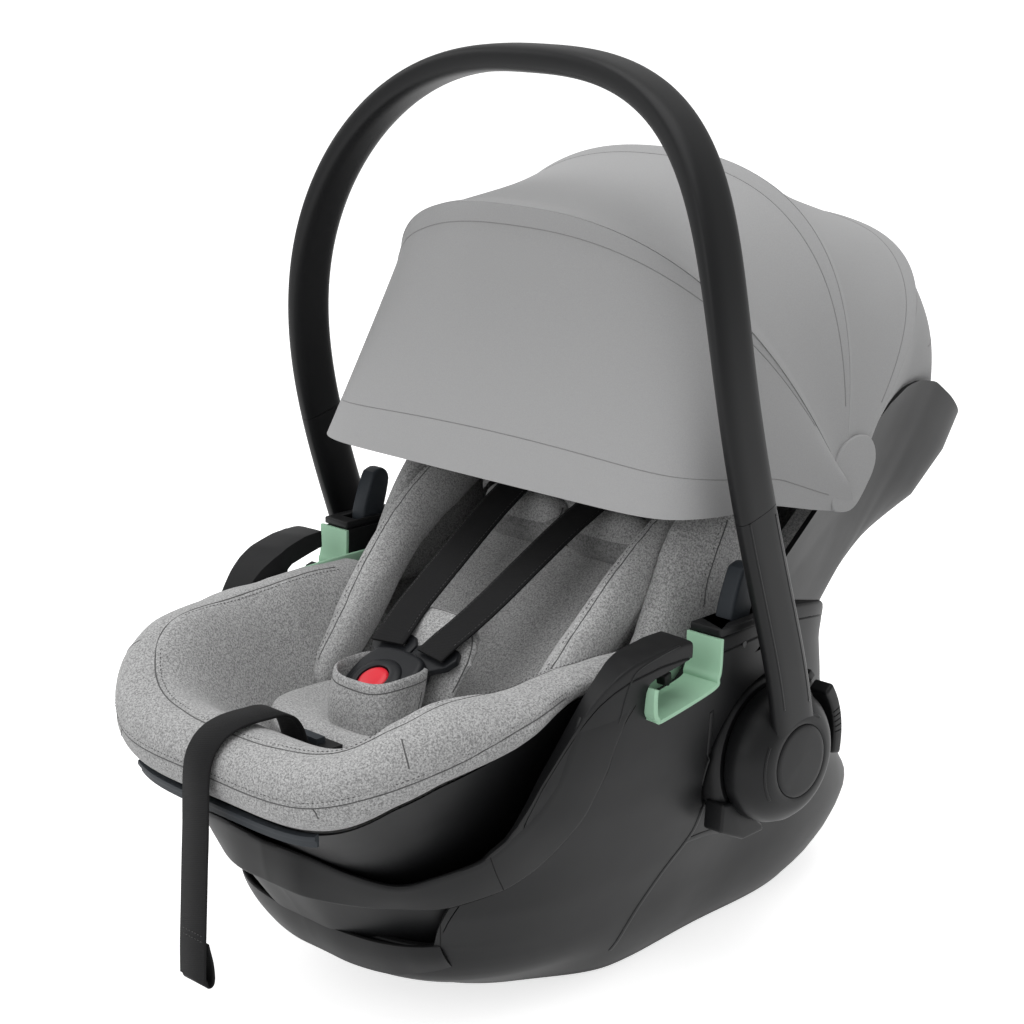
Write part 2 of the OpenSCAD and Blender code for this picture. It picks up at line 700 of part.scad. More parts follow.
// Foam-filled lining of the bucket
module seat_liner() {
    last = len(wall_depth) - 1;
    color(lining_grey) at_hub() ring_loft(concat(
        [for (k = [last:-1:0]) liner_ring(k)],
        [for (k = [0:last]) bowl_ring(k, bucket_wall + gap)]));
}

rim_turn = [-2.5, -4, -6.5, -10, -14, -19, -25, -32, -39, -46, -53, -60, -67, -74, -82, -90];
rim_sides = 14;
roll_lift = 1.5;
roll_square = 0.8;
function roll_tall(y) = mix(9.5, 25, blend_step((-y - 150) / 130));
function roll_wide(y) = mix(22, 36, blend_step((-y - 120) / 130));
function roll_out(y) = mix(4, 14, blend_step((-y - 160) / 50));
function rim_outward(u) = let (
    a = rim_point(u - 0.5), b = rim_point(u + 0.5),
    t = unit([b.x - a.x, b.y - a.y, 0])) cross(t, [0, 0, 1]);
function roll_ring(u) = let (
    r = rim_point(u),
    out = u <= -89.9 ? [0, -1, 0] : rim_outward(u),
    tall = roll_tall(r.y), wide = roll_wide(r.y),
    c = r + out * (roll_out(r.y) - wide) + [0, 0, tall + roll_lift])
    [for (k = [0:rim_sides - 1]) let (a = 360 * k / rim_sides)
        c + out * wide * signed_power(cos(a), roll_square)
            + [0, 0, tall * signed_power(sin(a), roll_square)]];

// Thick padded roll round the foot end and along both sides
module rim_cushion() {
    half = [for (u = rim_turn) roll_ring(u)];
    color(cloth_grey) at_hub()
        ring_loft(concat(half, [for (i = [len(half) - 2:-1:0]) mirrored(half[i])]));
}

// Rows of one wing: y, middle x, half width, low z, high z
wing_rows = [[-84, 138, 12, 92, 104], [-78, 137, 17, 91.5, 122], [-66, 136, 19, 93, 146],
    [-46, 136, 19, 96, 162], [-20, 136, 18, 98.5, 170], [10, 136, 17, 106, 173], [38, 136, 15, 132, 174]];
function oval_ring(centre, across, tall, wide_by, tall_by, power, sides) =
    [for (k = [0:sides - 1]) let (a = 360 * k / sides)
        centre + across * wide_by * signed_power(cos(a), power)
            + tall * tall_by * signed_power(sin(a), power)];

// Padded wing beside the shoulders
module wing_pad_right() {
    color(cloth_grey) at_hub() ring_loft([for (r = wing_rows)
        oval_ring([r[1], r[0], (r[3] + r[4]) / 2], [1, 0, 0], [0, 0, 1], r[2], (r[4] - r[3]) / 2, 0.7, 16)]);
}
module wing_pad_left() { left() wing_pad_right(); }

// A pillow along rows of y, z of the middle, half width and half thickness
module pad_along(rows) {
    ring_loft([for (i = [0:len(rows) - 1]) let (
        r = rows[i],
        a = rows[max(i - 1, 0)], b = rows[min(i + 1, len(rows) - 1)],
        along = unit([0, b[0] - a[0], b[1] - a[1]]),
        up = cross([1, 0, 0], along))
        oval_ring([0, r[0], r[1]], [1, 0, 0], up, r[2], r[3], 0.6, 16)]);
}

// Seat part of the insert
module insert_seat() {
    color(pad_grey) at_hub() pad_along([[-232, 10, 44, 4], [-226, 8, 66, 10], [-206, 2, 80, 16],
        [-176, -4, 86, 17], [-146, -6, 88, 17], [-122, -4, 86, 15]]);
}
// Back part of the insert
module insert_back() {
    color(pad_grey) at_hub() pad_along([[-116, 8, 80, 12], [-92, 24, 86, 16], [-62, 50, 88, 17],
        [-40, 72, 86, 15], [-30, 82, 80, 10]]);
}

bolster_route = [[88, -152, 26], [94, -126, 52], [99, -92, 88], [101, -56, 120], [100, -16, 142],
    [97, 24, 158]];
bolster_sizes = [9, 12, 13, 13, 12, 9];
// Side bolster of the insert
module insert_bolster_right() {
    last = len(bolster_route) - 1;
    color(pad_grey) at_hub() ring_loft([for (i = [0:last]) let (
        along = unit(bolster_route[min(i + 1, last)] - bolster_route[max(i - 1, 0)]),
        out = unit(cross(along, [0, -0.7, 0.7])),
        up = cross(out, along),
        s = bolster_sizes[i])
        oval_ring(bolster_route[i], out, up, s, s * 1.7, 0.8, 14)]);
}
module insert_bolster_left() { left() insert_bolster_right(); }

headrest_slope = 35;
headrest_foot = [-10, 106];
guide_place = [-18, 8, -26];
guide_size = [36, 130, 25.7];
back_place = [-74, 4, 0];
back_size = [148, 140, 4];
pad_lift = 4.3;
module on_back() {
    at_hub() translate([0, headrest_foot.x, headrest_foot.y]) rotate([headrest_slope, 0, 0]) children();
}
// Guide on the lining that the headrest slides along
module headrest_guide() {
    color(shell_black) on_back() translate(guide_place) cube(guide_size);
}
// Moulded back plate of the headrest
module headrest_shell() {
    color(shell_black) on_back() translate(back_place) cube(back_size);
}
headrest_rows = [[22, 56, 8], [30, 70, 12], [80, 76, 13], [130, 70, 12], [144, 52, 7]];
// Padded headrest
module headrest_pad() {
    color(pad_grey) on_back() ring_loft([for (r = headrest_rows)
        oval_ring([0, r[0], pad_lift + r[2]], [1, 0, 0], [0, 0, 1], r[1], r[2], 0.6, 16)]);
}
lobe_x = 40;
lobe_rows = [[-6, 20, 5], [-2, 30, 9], [10, 36, 12], [21, 34, 11]];
// Padded lobe under the strap at the foot of the headrest
module headrest_lobe_right() {
    color(pad_grey) on_back() ring_loft([for (r = lobe_rows)
        oval_ring([lobe_x, r[0], pad_lift + r[2]], [1, 0, 0], [0, 0, 1], r[1], r[2], 0.7, 14)]);
}
module headrest_lobe_left() { left() headrest_lobe_right(); }

// ---- harness ----

buckle_place = [0, -186, 50];
buckle_slope = 28;
buckle_thick = 17;
button_place = -6;
button_floor = -2;
tongue_thick = 6;
module on_buckle() {
    at_hub() translate(buckle_place) rotate([buckle_slope, 0, 0]) children();
}
buckle_outline = [[-15, -30], [15, -30], [24, -18], [27, 4], [27, 20], [20, 27], [-20, 27],
    [-27, 20], [-27, 4], [-24, -18]];
module on_buckle_plate(outline, low, high) {
    on_buckle() translate([0, 0, low]) linear_extrude(high - low) polygon(outline);
}

// Harness buckle
module buckle_body() {
    color(shell_black) difference() {
        on_buckle_plate(buckle_outline, -buckle_thick / 2, buckle_thick / 2);
        on_buckle() translate([0, button_place, button_floor])
            cylinder(h = buckle_thick, r = button_radius + gap);
        on_buckle() for (x = [-23, 1.5])
            translate([x, 6, -tongue_thick / 2 - 0.2]) cube([21.5, 40, tongue_thick + 0.4]);
    }
}
// Red release button of the buckle
module buckle_button() {
    height = buckle_thick / 2 - button_travel + 1.9;
    color(button_red) on_buckle() translate([0, button_place, button_floor + button_travel + 0.2]) union() {
        cylinder(h = height, r = button_radius);
        cylinder(h = height + 1, r = button_radius - 1);
    }
}
tongue_outline = [[2, 7], [22.5, 7], [22.5, 30], [30, 38], [46, 47], [42, 60], [12, 50], [2, 34]];
tongue_slot = [[17, 41], [39, 49.5], [38, 53], [16, 44.5]];
// Plastic tongue that clicks into the buckle
module tongue_right() {
    color(shell_black) difference() {
        on_buckle_plate(tongue_outline, -tongue_thick / 2, tongue_thick / 2);
        on_buckle_plate(tongue_slot, -tongue_thick, tongue_thick);
    }
}
module tongue_left() { left() tongue_right(); }

// Section of a band: shares of its half width and half thickness
band_section = [[1, 0.4], [0.96, 1], [-0.96, 1], [-1, 0.4], [-1, -0.4], [-0.96, -1], [0.96, -1], [1, -0.4]];
// A flat band along points, as wide as the webbing in the given direction
module band(route, width, thick, across = [1, 0, 0]) {
    last = len(route) - 1;
    ring_loft([for (i = [0:last]) let (
        along = unit(route[min(i + 1, last)] - route[max(i - 1, 0)]),
        side = unit(across - along * (across * along)),
        up = cross(side, along),
        w = side * width / 2, h = up * thick / 2)
        [for (q = band_section) route[i] + w * q.x + h * q.y]]);
}

shoulder_route = [[27, -135, 82], [30, -112, 97], [33, -80, 117], [36, -48, 136], [38, -23, 149],
    [39, 0, 160], [40, 14, 166]];
// Shoulder strap from the headrest to the tongue
module shoulder_strap_right() {
    color(webbing_black) at_hub() band(shoulder_route, webbing_width, webbing_thick, [1, -0.1, 0]);
}
module shoulder_strap_left() { left() shoulder_strap_right(); }

lap_route = [[34, -139, 73], [46, -138, 58], [58, -134, 40], [67, -130, 24], [70, -128, 16]];
// Lap strap from the tongue into the seat
module lap_strap_right() {
    color(webbing_black) at_hub() band(lap_route, webbing_width - 8, webbing_thick, [0.1, 1, 0.4]);
}
module lap_strap_left() { left() lap_strap_right(); }

crotch_route = [[0, -204, 14.5], [0, -209, 22], [0, -212, 30], [0, -211, 37]];
// Webbing that holds the buckle
module crotch_strap() {
    color(webbing_black) at_hub() band(crotch_route, webbing_width - 4, webbing_thick);
}

pocket_wall = 4;
pocket_floor = 15;
pocket_rows = [[12, -194, 27, 19], [24, -195, 30, 24], [40, -195, 32, 27]];
// Fabric pocket round the foot of the buckle
module crotch_pad() {
    ring = function (r, z, wall) oval_ring([0, r[1], z], [1, 0, 0], [0, 1, 0],
        r[2] + wall, r[3] + wall, 0.7, 18);
    outer = [for (r = pocket_rows) ring(r, r[0], pocket_wall)];
    inner = [for (i = [len(pocket_rows) - 1:-1:0])
        ring(pocket_rows[i], max(pocket_rows[i][0], pocket_floor), 0)];
    color(cloth_grey) at_hub() ring_loft(concat(outer, inner));
}

housing_place = [-22, -265, -12];
housing_size = [44, 22, 40];
strap_mouth_place = [-webbing_width / 2 - 1, -275, 22];
strap_mouth_size = [webbing_width + 2, 20, 4];
button_well_place = [-11, -256, 12];
button_well_size = [22, 8, 30];
adjuster_button_z = 18;
adjuster_button_height = 14;
// Housing of the strap adjuster under the front of the cover
module adjuster_housing() {
    color(shell_black) at_hub() difference() {
        translate(housing_place) cube(housing_size);
        translate(strap_mouth_place) cube(strap_mouth_size);
        translate(button_well_place) cube(button_well_size);
    }
}
// Button that frees the adjuster strap
module adjuster_button() {
    color(tab_grey) at_hub()
        translate([button_well_place.x + gap, button_well_place.y + gap, adjuster_button_z])
            cube([button_well_size.x - 2 * gap, button_well_size.y - 2 * gap, adjuster_button_height]);
}

adjuster_route = [[0, -261.5, 24], [0, -265, 33], [0, -268.5, 43.5], [0, -275, 52.5], [0, -285, 57],
    [0, -297, 58], [0, -308, 58.5], [0, -319, 58], [0, -329, 55.5], [0, -337, 50.5], [0, -343, 42.5],
    [0, -346, 32], [0, -347, 20], [-1, -347, 8], [-2, -347, -8], [-4, -347, -28], [-6, -347, -50],
    [-8, -347, -72], [-10, -347, -94], [-11, -347, -114]];
// Loose end of the harness adjuster, hanging over the front rim
module adjuster_strap() {
    color(webbing_black) at_hub() band(adjuster_route, adjuster_width, webbing_thick);
}

// ---- drawing ----

base_shell();
base_plate();
lock_bar_front();
lock_bar_rear();
seat_bucket();
grip_trim();
belt_hook_right();
belt_hook_left();
tower_cap_right();
tower_cap_left();
lever_right();
lever_left();
lever_pins();
hub_base_right();
hub_base_left();
axle_right();
axle_left();
handle_grip();
handle_leg_right();
handle_leg_left();
hub_cap_right();
hub_cap_left();
release_button_right();
release_button_left();
canopy_bracket_right();
canopy_bracket_left();
canopy_pins();
bow_mid();
bow_front();
canopy_tail();
canopy_panel_rear();
canopy_panel_front();
canopy_visor();
seat_liner();
rim_cushion();
wing_pad_right();
wing_pad_left();
insert_seat();
insert_back();
insert_bolster_right();
insert_bolster_left();
headrest_guide();
headrest_shell();
headrest_pad();
headrest_lobe_right();
headrest_lobe_left();
crotch_pad();
crotch_strap();
buckle_body();
buckle_button();
tongue_right();
tongue_left();
shoulder_strap_right();
shoulder_strap_left();
lap_strap_right();
lap_strap_left();
adjuster_housing();
adjuster_button();
adjuster_strap();
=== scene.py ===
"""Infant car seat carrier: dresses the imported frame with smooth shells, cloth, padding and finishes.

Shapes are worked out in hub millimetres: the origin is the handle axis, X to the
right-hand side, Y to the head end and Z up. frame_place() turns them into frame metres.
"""

import json
import logging
import math
from dataclasses import dataclass, field
from enum import Enum
from typing import Callable, Sequence

import bmesh
import bpy
import numpy as np
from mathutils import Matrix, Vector
from mathutils.bvhtree import BVHTree

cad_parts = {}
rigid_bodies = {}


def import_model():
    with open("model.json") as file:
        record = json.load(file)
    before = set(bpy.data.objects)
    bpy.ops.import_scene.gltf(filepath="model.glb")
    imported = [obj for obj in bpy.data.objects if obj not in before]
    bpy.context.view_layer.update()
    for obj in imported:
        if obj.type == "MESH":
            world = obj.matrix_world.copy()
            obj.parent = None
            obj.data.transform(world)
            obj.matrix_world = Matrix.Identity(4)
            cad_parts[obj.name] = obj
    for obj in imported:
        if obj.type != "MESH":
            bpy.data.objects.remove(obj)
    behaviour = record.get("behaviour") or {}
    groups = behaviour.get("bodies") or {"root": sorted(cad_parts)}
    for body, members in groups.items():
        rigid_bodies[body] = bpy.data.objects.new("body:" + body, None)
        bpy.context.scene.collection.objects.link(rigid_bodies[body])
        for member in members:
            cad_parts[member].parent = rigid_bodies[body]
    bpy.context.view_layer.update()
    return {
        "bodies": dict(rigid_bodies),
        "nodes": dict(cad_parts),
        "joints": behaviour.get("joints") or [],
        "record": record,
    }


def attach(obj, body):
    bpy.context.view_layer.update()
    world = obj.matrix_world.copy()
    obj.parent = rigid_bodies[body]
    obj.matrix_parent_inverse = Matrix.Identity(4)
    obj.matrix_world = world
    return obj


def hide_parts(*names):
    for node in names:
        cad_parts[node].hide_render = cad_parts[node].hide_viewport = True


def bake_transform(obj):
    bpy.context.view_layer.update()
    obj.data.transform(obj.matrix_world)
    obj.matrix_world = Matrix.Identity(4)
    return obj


Array = np.ndarray
Object = bpy.types.Object
Material = bpy.types.Material
Table = Sequence[Sequence[float]]
Sockets = bpy.types.bpy_prop_collection
log = logging.getLogger("car_seat")

HUB_PLACE = (0.0, 0.5, 165.0)
ACROSS = np.array([1.0, 0, 0])
UP = np.array([0, 0, 1.0])
MM = 0.001
SIDE_NAMES = {1: "_right", -1: "_left"}


# ---- arithmetic on arrays ----


def lookup(value: Array | float, table: Table) -> Array:
    """Reads a table of (place, value) pairs with straight lines between them.

    Args:
        value: Places to read at.
        table: Pairs in rising order of place.

    Returns:
        The values there, held at the ends.
    """
    pairs = np.asarray(table, float)
    return np.interp(value, pairs[:, 0], pairs[:, 1])


def soft_lookup(value: Array | float, table: Table, spread: float) -> Array:
    """Reads a table as lookup does, averaged over a window so that its corners are rounded.

    Args:
        value: Places to read at.
        table: Pairs in rising order of place.
        spread: Half width of the window.

    Returns:
        The rounded values there.
    """
    offsets = np.linspace(-1, 1, 9) * spread
    weights = 1 - np.abs(np.linspace(-1, 1, 9)) * 0.85
    value = np.asarray(value, float)
    return sum(w * lookup(value + o, table) for o, w in zip(offsets, weights)) / weights.sum()


def power(value: Array, exponent: Array | float) -> Array:
    """The size of a value to a power, with its sign kept."""
    return np.sign(value) * np.abs(value) ** exponent


def bell(t: Array) -> Array:
    """A bell curve, 1 at t = 0."""
    return np.exp(-(t**2))


def blend_step(t: Array | float) -> Array:
    """A smooth step from 0 to 1 as t goes from 0 to 1."""
    t = np.clip(t, 0, 1)
    return t * t * (3 - 2 * t)


def mix(a: Array | float, b: Array | float, t: Array | float) -> Array:
    """A straight blend from a to b."""
    return a + (b - a) * t


def unit(v: Array) -> Array:
    """Vectors made one long."""
    return v / np.maximum(np.linalg.norm(v, axis=-1, keepdims=True), 1e-9)


def stack(x: Array, y: Array, z: Array) -> Array:
    """Three arrays joined into points."""
    return np.stack(np.broadcast_arrays(x, y, z), axis=-1).astype(float)


def turn(count: int) -> Array:
    """Angles in degrees, evenly spaced round one turn."""
    return np.arange(count) * 360 / count


def dsin(degrees: Array | float) -> Array:
    """Sine of an angle in degrees."""
    return np.sin(np.radians(degrees))


def dcos(degrees: Array | float) -> Array:
    """Cosine of an angle in degrees."""
    return np.cos(np.radians(degrees))


def circle(centre: Sequence[float], radius: float, a: Array) -> Array:
    """Points (across, up) of a circle at the angles a."""
    return np.stack([centre[0] + radius * dcos(a), centre[1] + radius * dsin(a)], 1)


def heading(path: Array) -> Array:
    """The direction of a path at each of its points."""
    return unit(np.gradient(path, axis=0))


def spline(points: Table, count: int) -> Array:
    """A smooth curve through points: Catmull-Rom cubics, resampled to even spacing.

    Args:
        points: Points that the curve passes through.
        count: Number of points to return.

    Returns:
        Points along the curve.
    """
    p = np.asarray(points, float)
    p = np.vstack([2 * p[0] - p[1], p, 2 * p[-1] - p[-2]])
    t = np.linspace(0, 1, 24, endpoint=False)[:, None]
    a, b, c, d = (part[:, None] for part in (p[:-3], p[1:-2], p[2:-1], p[3:]))
    curve = 0.5 * (2 * b + (c - a) * t + (2 * a - 5 * b + 4 * c - d) * t**2 + (3 * b - a - 3 * c + d) * t**3)
    return resample(np.vstack([curve.reshape(-1, p.shape[1]), p[-2]]), count)


def resample(line: Array, count: int) -> Array:
    """Points spaced evenly along a line."""
    steps = np.r_[0, np.cumsum(np.linalg.norm(np.diff(line, axis=0), axis=1))]
    at = np.linspace(0, steps[-1], count)
    return np.stack([np.interp(at, steps, line[:, k]) for k in range(line.shape[1])], axis=1)


def sided(points: Table, side: int) -> Array:
    """Points of the right-hand side as they are for side 1, and mirrored to the left for side -1."""
    return np.asarray(points, float) * [side, 1, 1]


def across_middle(half: Array) -> Array:
    """Rings or points of the right-hand half, led up to by their mirror images."""
    return np.concatenate([sided(half[:0:-1], -1), half])


def frame_place(points: Array) -> Array:
    """Hub millimetres turned into frame metres."""
    return (np.asarray(points, float) + HUB_PLACE) * MM


# ---- meshes ----


def new_object(name: str, data: bpy.types.ID) -> Object:
    """An object at the origin, in the scene."""
    made = bpy.data.objects.new(name, data)
    bpy.context.scene.collection.objects.link(made)
    return made


def make_mesh(name: str, points: Array, faces: Array | list, uv: Array | None = None) -> Object:
    """Makes a mesh object at the origin from points in hub millimetres, with its faces outwards.

    Args:
        name: Name of the piece.
        points: Vertex positions.
        faces: Vertex numbers of each face.
        uv: Surface position of each face corner in metres, if there is one.

    Returns:
        The new object.
    """
    points = frame_place(points.reshape(-1, 3))
    faces = [list(map(int, f)) for f in faces]
    mesh = bpy.data.meshes.new(name)
    mesh.from_pydata(points.tolist(), [], faces)
    if uv is not None:
        layer = mesh.uv_layers.new(name="surface")
        layer.data.foreach_set("uv", np.asarray(uv, np.float32).ravel())
    mesh.update()
    mesh.calc_loop_triangles()
    tri = np.empty(len(mesh.loop_triangles) * 3, np.int32)
    mesh.loop_triangles.foreach_get("vertices", tri)
    a, b, c = (points[tri.reshape(-1, 3)[:, k]] for k in range(3))
    if np.einsum("ij,ij->i", a, np.cross(b, c)).sum() < 0:
        mesh.flip_normals()
    mesh.polygons.foreach_set("use_smooth", np.ones(len(mesh.polygons), bool))
    mesh.update()
    return new_object(name, mesh)


def grid_faces(rows: int, columns: int, around: bool, start: int = 0) -> Array:
    """Quads between neighbouring points of a grid.

    Args:
        rows: Number of rows.
        columns: Number of columns.
        around: True where the last column joins the first.
        start: Number of the grid's first point.

    Returns:
        Four vertex numbers for each quad.
    """
    i, j = np.meshgrid(np.arange(rows - 1), np.arange(columns if around else columns - 1), indexing="ij")
    k = (j + 1) % columns
    here, below = i * columns, (i + 1) * columns
    return np.stack([here + j, below + j, below + k, here + k], -1).reshape(-1, 4) + start


def grid_uv(grid: Array, around: bool) -> Array:
    """Distances along a grid's rows and columns, at each corner of its quads, in metres."""
    closed = np.concatenate([grid, grid[:, :1]], axis=1) if around else grid
    across = np.linalg.norm(np.diff(closed, axis=1), axis=2)
    down = np.linalg.norm(np.diff(closed, axis=0), axis=2)
    middle = closed.shape[0] // 2
    u = np.broadcast_to(np.r_[0, np.cumsum(across[middle])], closed.shape[:2])
    v = np.vstack([np.zeros((1, closed.shape[1])), np.cumsum(down, axis=0)])
    uv = np.stack([u, v], -1) * MM
    return np.stack([uv[:-1, :-1], uv[1:, :-1], uv[1:, 1:], uv[:-1, 1:]], axis=2).reshape(-1, 2)


def loft(name: str, rings: Array) -> Object:
    """A closed solid through rings of points, with a flat cap on each end.

    Args:
        name: Name of the piece.
        rings: Points by ring and by place round the ring.

    Returns:
        The new object.
    """
    rows, columns = rings.shape[:2]
    quads = [list(f) for f in grid_faces(rows, columns, True)]
    caps = [list(range(columns)), list(range((rows - 1) * columns, rows * columns))[::-1]]
    return make_mesh(name, rings, quads + caps, np.concatenate([grid_uv(rings, True), np.zeros((2 * columns, 2))]))


def thick_sheet(name: str, outer: Array, inner: Array) -> Object:
    """A closed sheet between an outer and an inner grid of points.

    Args:
        name: Name of the piece.
        outer: Outer grid.
        inner: Inner grid of the same size.

    Returns:
        The new object.
    """
    rows, columns = outer.shape[:2]
    half = rows * columns
    front, back = grid_faces(rows, columns, False), grid_faces(rows, columns, False, half)[:, ::-1]
    ring = np.concatenate([np.arange(columns - 1), np.arange(rows - 1) * columns + columns - 1,
                           np.arange(half - 1, half - columns, -1), np.arange(rows - 1, 0, -1) * columns])
    after = np.roll(ring, -1)
    edge = np.stack([ring, after, after + half, ring + half], 1)
    uv_front = grid_uv(outer, False).reshape(-1, 4, 2)
    uv = np.concatenate([uv_front, uv_front[:, ::-1], np.zeros((len(edge), 4, 2))]).reshape(-1, 2)
    return make_mesh(name, np.concatenate([outer.reshape(-1, 3), inner.reshape(-1, 3)]),
                     np.concatenate([front, back, edge]), uv)


def frames_along(path: Array, across: Array | Sequence[float]) -> tuple[Array, Array, Array]:
    """Directions along, across and up at each point of a path.

    Args:
        path: Points of the path.
        across: Direction that the profile's width keeps to.

    Returns:
        Unit vectors along, across and up.
    """
    along = heading(path)
    across = np.broadcast_to(np.asarray(across, float), path.shape)
    side = unit(across - along * np.sum(across * along, axis=1, keepdims=True))
    return along, side, unit(np.cross(side, along))


def carried(path: Array, across: Array, up: Array, section: Array) -> Array:
    """A section of (across, up) set at each point of a path."""
    return path[:, None] + across[:, None] * section[None, :, :1] + up[:, None] * section[None, :, 1:]


def sweep(name: str, path: Array, profile: Array, across: Array | Sequence[float]) -> Object:
    """A profile carried along a path: each point is path + across * profile x + up * profile y.

    Args:
        name: Name of the piece.
        path: Points of the path.
        profile: Closed outline in (across, up).
        across: Direction that the outline's width keeps to.

    Returns:
        The new object.
    """
    _, side, up = frames_along(path, across)
    return loft(name, carried(path, side, up, profile))


def round_profile(wide: float, tall: float, exponent: float = 1.0, count: int = 16) -> Array:
    """A closed outline: (wide * cos^p, tall * sin^p), squarer as the exponent falls below 1."""
    a = turn(count)
    return np.stack([wide * power(dcos(a), exponent), tall * power(dsin(a), exponent)], 1)


def turned(name: str, profile: Table, side: int = 1, count: int = 96, centre: Sequence[float] = (0.0, 0.0)) -> Object:
    """A profile of (radius, x) turned about an axis along X, closed on itself.

    Args:
        name: Name of the piece.
        profile: Closed outline of radius and distance from the centre plane.
        side: 1 for the right-hand side, -1 for the left-hand side.
        count: Number of steps round the axis.
        centre: The axis's (y, z).

    Returns:
        The new object.
    """
    p = np.asarray(profile, float)
    a = turn(count)[:, None]
    grid = stack(side * p[:, 1] + 0 * a, centre[0] + p[:, 0] * dcos(a), centre[1] + p[:, 0] * dsin(a))
    rows, columns = grid.shape[:2]
    closed = np.concatenate([grid, grid[:1]])
    faces = grid_faces(rows + 1, columns, True) % (rows * columns)
    return weld(make_mesh(name, grid, faces, grid_uv(closed, True)))


def slab(name: str, outline: Table, low: float, high: float, side: int = 1) -> Object:
    """A side-view outline in (y, z) made solid between two distances from the centre plane."""
    p = np.asarray(outline, float)
    n = len(p)
    rings = np.stack([stack(side * x, p[:, 0], p[:, 1]) for x in (low, high)])
    faces = [list(f) for f in grid_faces(2, n, True)] + [list(range(n)), list(range(n, 2 * n))[::-1]]
    return make_mesh(name, rings, faces)


def weld(piece: Object, distance: float = 1e-6) -> Object:
    """Merges points that lie on each other and turns the faces outwards."""
    bm = bmesh.new()
    bm.from_mesh(piece.data)
    bmesh.ops.remove_doubles(bm, verts=bm.verts, dist=distance)
    bmesh.ops.dissolve_degenerate(bm, edges=bm.edges, dist=distance)
    bmesh.ops.recalc_face_normals(bm, faces=bm.faces)
    bm.to_mesh(piece.data)
    bm.free()
    return piece


def apply_modifiers(piece: Object) -> Object:
    """Puts the result of a piece's modifiers into its mesh."""
    graph = bpy.context.evaluated_depsgraph_get()
    mesh = bpy.data.meshes.new_from_object(piece.evaluated_get(graph))
    piece.modifiers.clear()
    old, piece.data = piece.data, mesh
    bpy.data.meshes.remove(old)
    return piece


def join(name: str, parts: Sequence[Object]) -> Object:
    """Several meshes put into one piece, unturned and at the origin."""
    bm = bmesh.new()
    for part in parts:
        bm.from_mesh(part.data)
        bpy.data.objects.remove(part)
    mesh = bpy.data.meshes.new(name)
    bm.to_mesh(mesh)
    bm.free()
    return new_object(name, mesh)


def modify(piece: Object, kind: str, **settings: object) -> Object:
    """Puts a modifier of a kind on a piece, with its settings."""
    step = piece.modifiers.new(kind.lower(), kind)
    for key, value in settings.items():
        setattr(step, key, value)
    return piece


def cut(piece: Object, tools: Sequence[Object]) -> Object:
    """Takes the shapes of the tools out of a piece, and removes the tools."""
    for tool in tools:
        modify(piece, "BOOLEAN", operation="DIFFERENCE", object=tool, solver="MANIFOLD")
    apply_modifiers(piece)
    for tool in tools:
        bpy.data.objects.remove(tool)
    return piece


def bevel(piece: Object, width: float, segments: int = 3, angle: float = 35.0) -> Object:
    """Rounds a piece's sharp edges by a width in millimetres."""
    modify(piece, "BEVEL", width=width * MM, segments=segments, angle_limit=math.radians(angle), harden_normals=False)
    return apply_modifiers(piece)


def sharpen(piece: Object, angle: float = 32.0) -> Object:
    """Shades edges that turn more than an angle as sharp and the rest as smooth."""
    bm = bmesh.new()
    bm.from_mesh(piece.data)
    limit = math.radians(angle)
    for edge in bm.edges:
        edge.smooth = not (len(edge.link_faces) == 2 and edge.calc_face_angle(0.0) > limit)
    for face in bm.faces:
        face.smooth = True
    bm.to_mesh(piece.data)
    bm.free()
    return piece


def vectors(items: bpy.types.bpy_prop_collection, key: str) -> Array:
    """One vector property of each item of a mesh."""
    found = np.empty(len(items) * 3, np.float32)
    items.foreach_get(key, found)
    return found.reshape(-1, 3)


def vertices(piece: Object) -> Array:
    """A piece's vertex positions in hub millimetres."""
    return vectors(piece.data.vertices, "co").astype(float) / MM - HUB_PLACE


def set_vertices(piece: Object, points: Array) -> Object:
    """Moves a piece's vertices to positions in hub millimetres."""
    piece.data.vertices.foreach_set("co", frame_place(points).astype(np.float32).ravel())
    piece.data.update()
    return piece


def normals(piece: Object) -> Array:
    """The direction that a piece's surface faces at each vertex."""
    return vectors(piece.data.vertex_normals, "vector").astype(float)


# ---- seams, stitches and padding ----


class Skin:
    """The surface of a finished piece, for laying seams and lines on it."""

    def __init__(self, piece: Object) -> None:
        """Keeps a search tree of the piece's faces, in hub millimetres."""
        points = vertices(piece)
        self.tree = BVHTree.FromPolygons(points.tolist(), [tuple(f.vertices) for f in piece.data.polygons])

    def snap(self, route: Table, count: int) -> tuple[Array, Array]:
        """A smooth curve through a route, moved onto the surface.

        Args:
            route: Points near the surface.
            count: Number of points to return.

        Returns:
            The points and the surface's normals there.
        """
        found = [self.tree.find_nearest(Vector(p)) for p in spline(route, count)]
        at, normal = (np.array([list(f[k]) for f in found]) for k in (0, 1))
        for _ in range(3):
            at[1:-1] = (at[:-2] + 2 * at[1:-1] + at[2:]) / 4
            normal[1:-1] = (normal[:-2] + 2 * normal[1:-1] + normal[2:]) / 4
        return at, unit(normal)


def surface_line(name: str, skin: Skin, route: Table, width: float, height: float, count: int = 120) -> Object:
    """A low rounded line laid on a surface: an oval section carried along the snapped route."""
    at, normal = skin.snap(route, count)
    side = unit(np.cross(normal, heading(at)))
    return loft(name, carried(at, side, normal, round_profile(width / 2, height, 1.0, 8)))


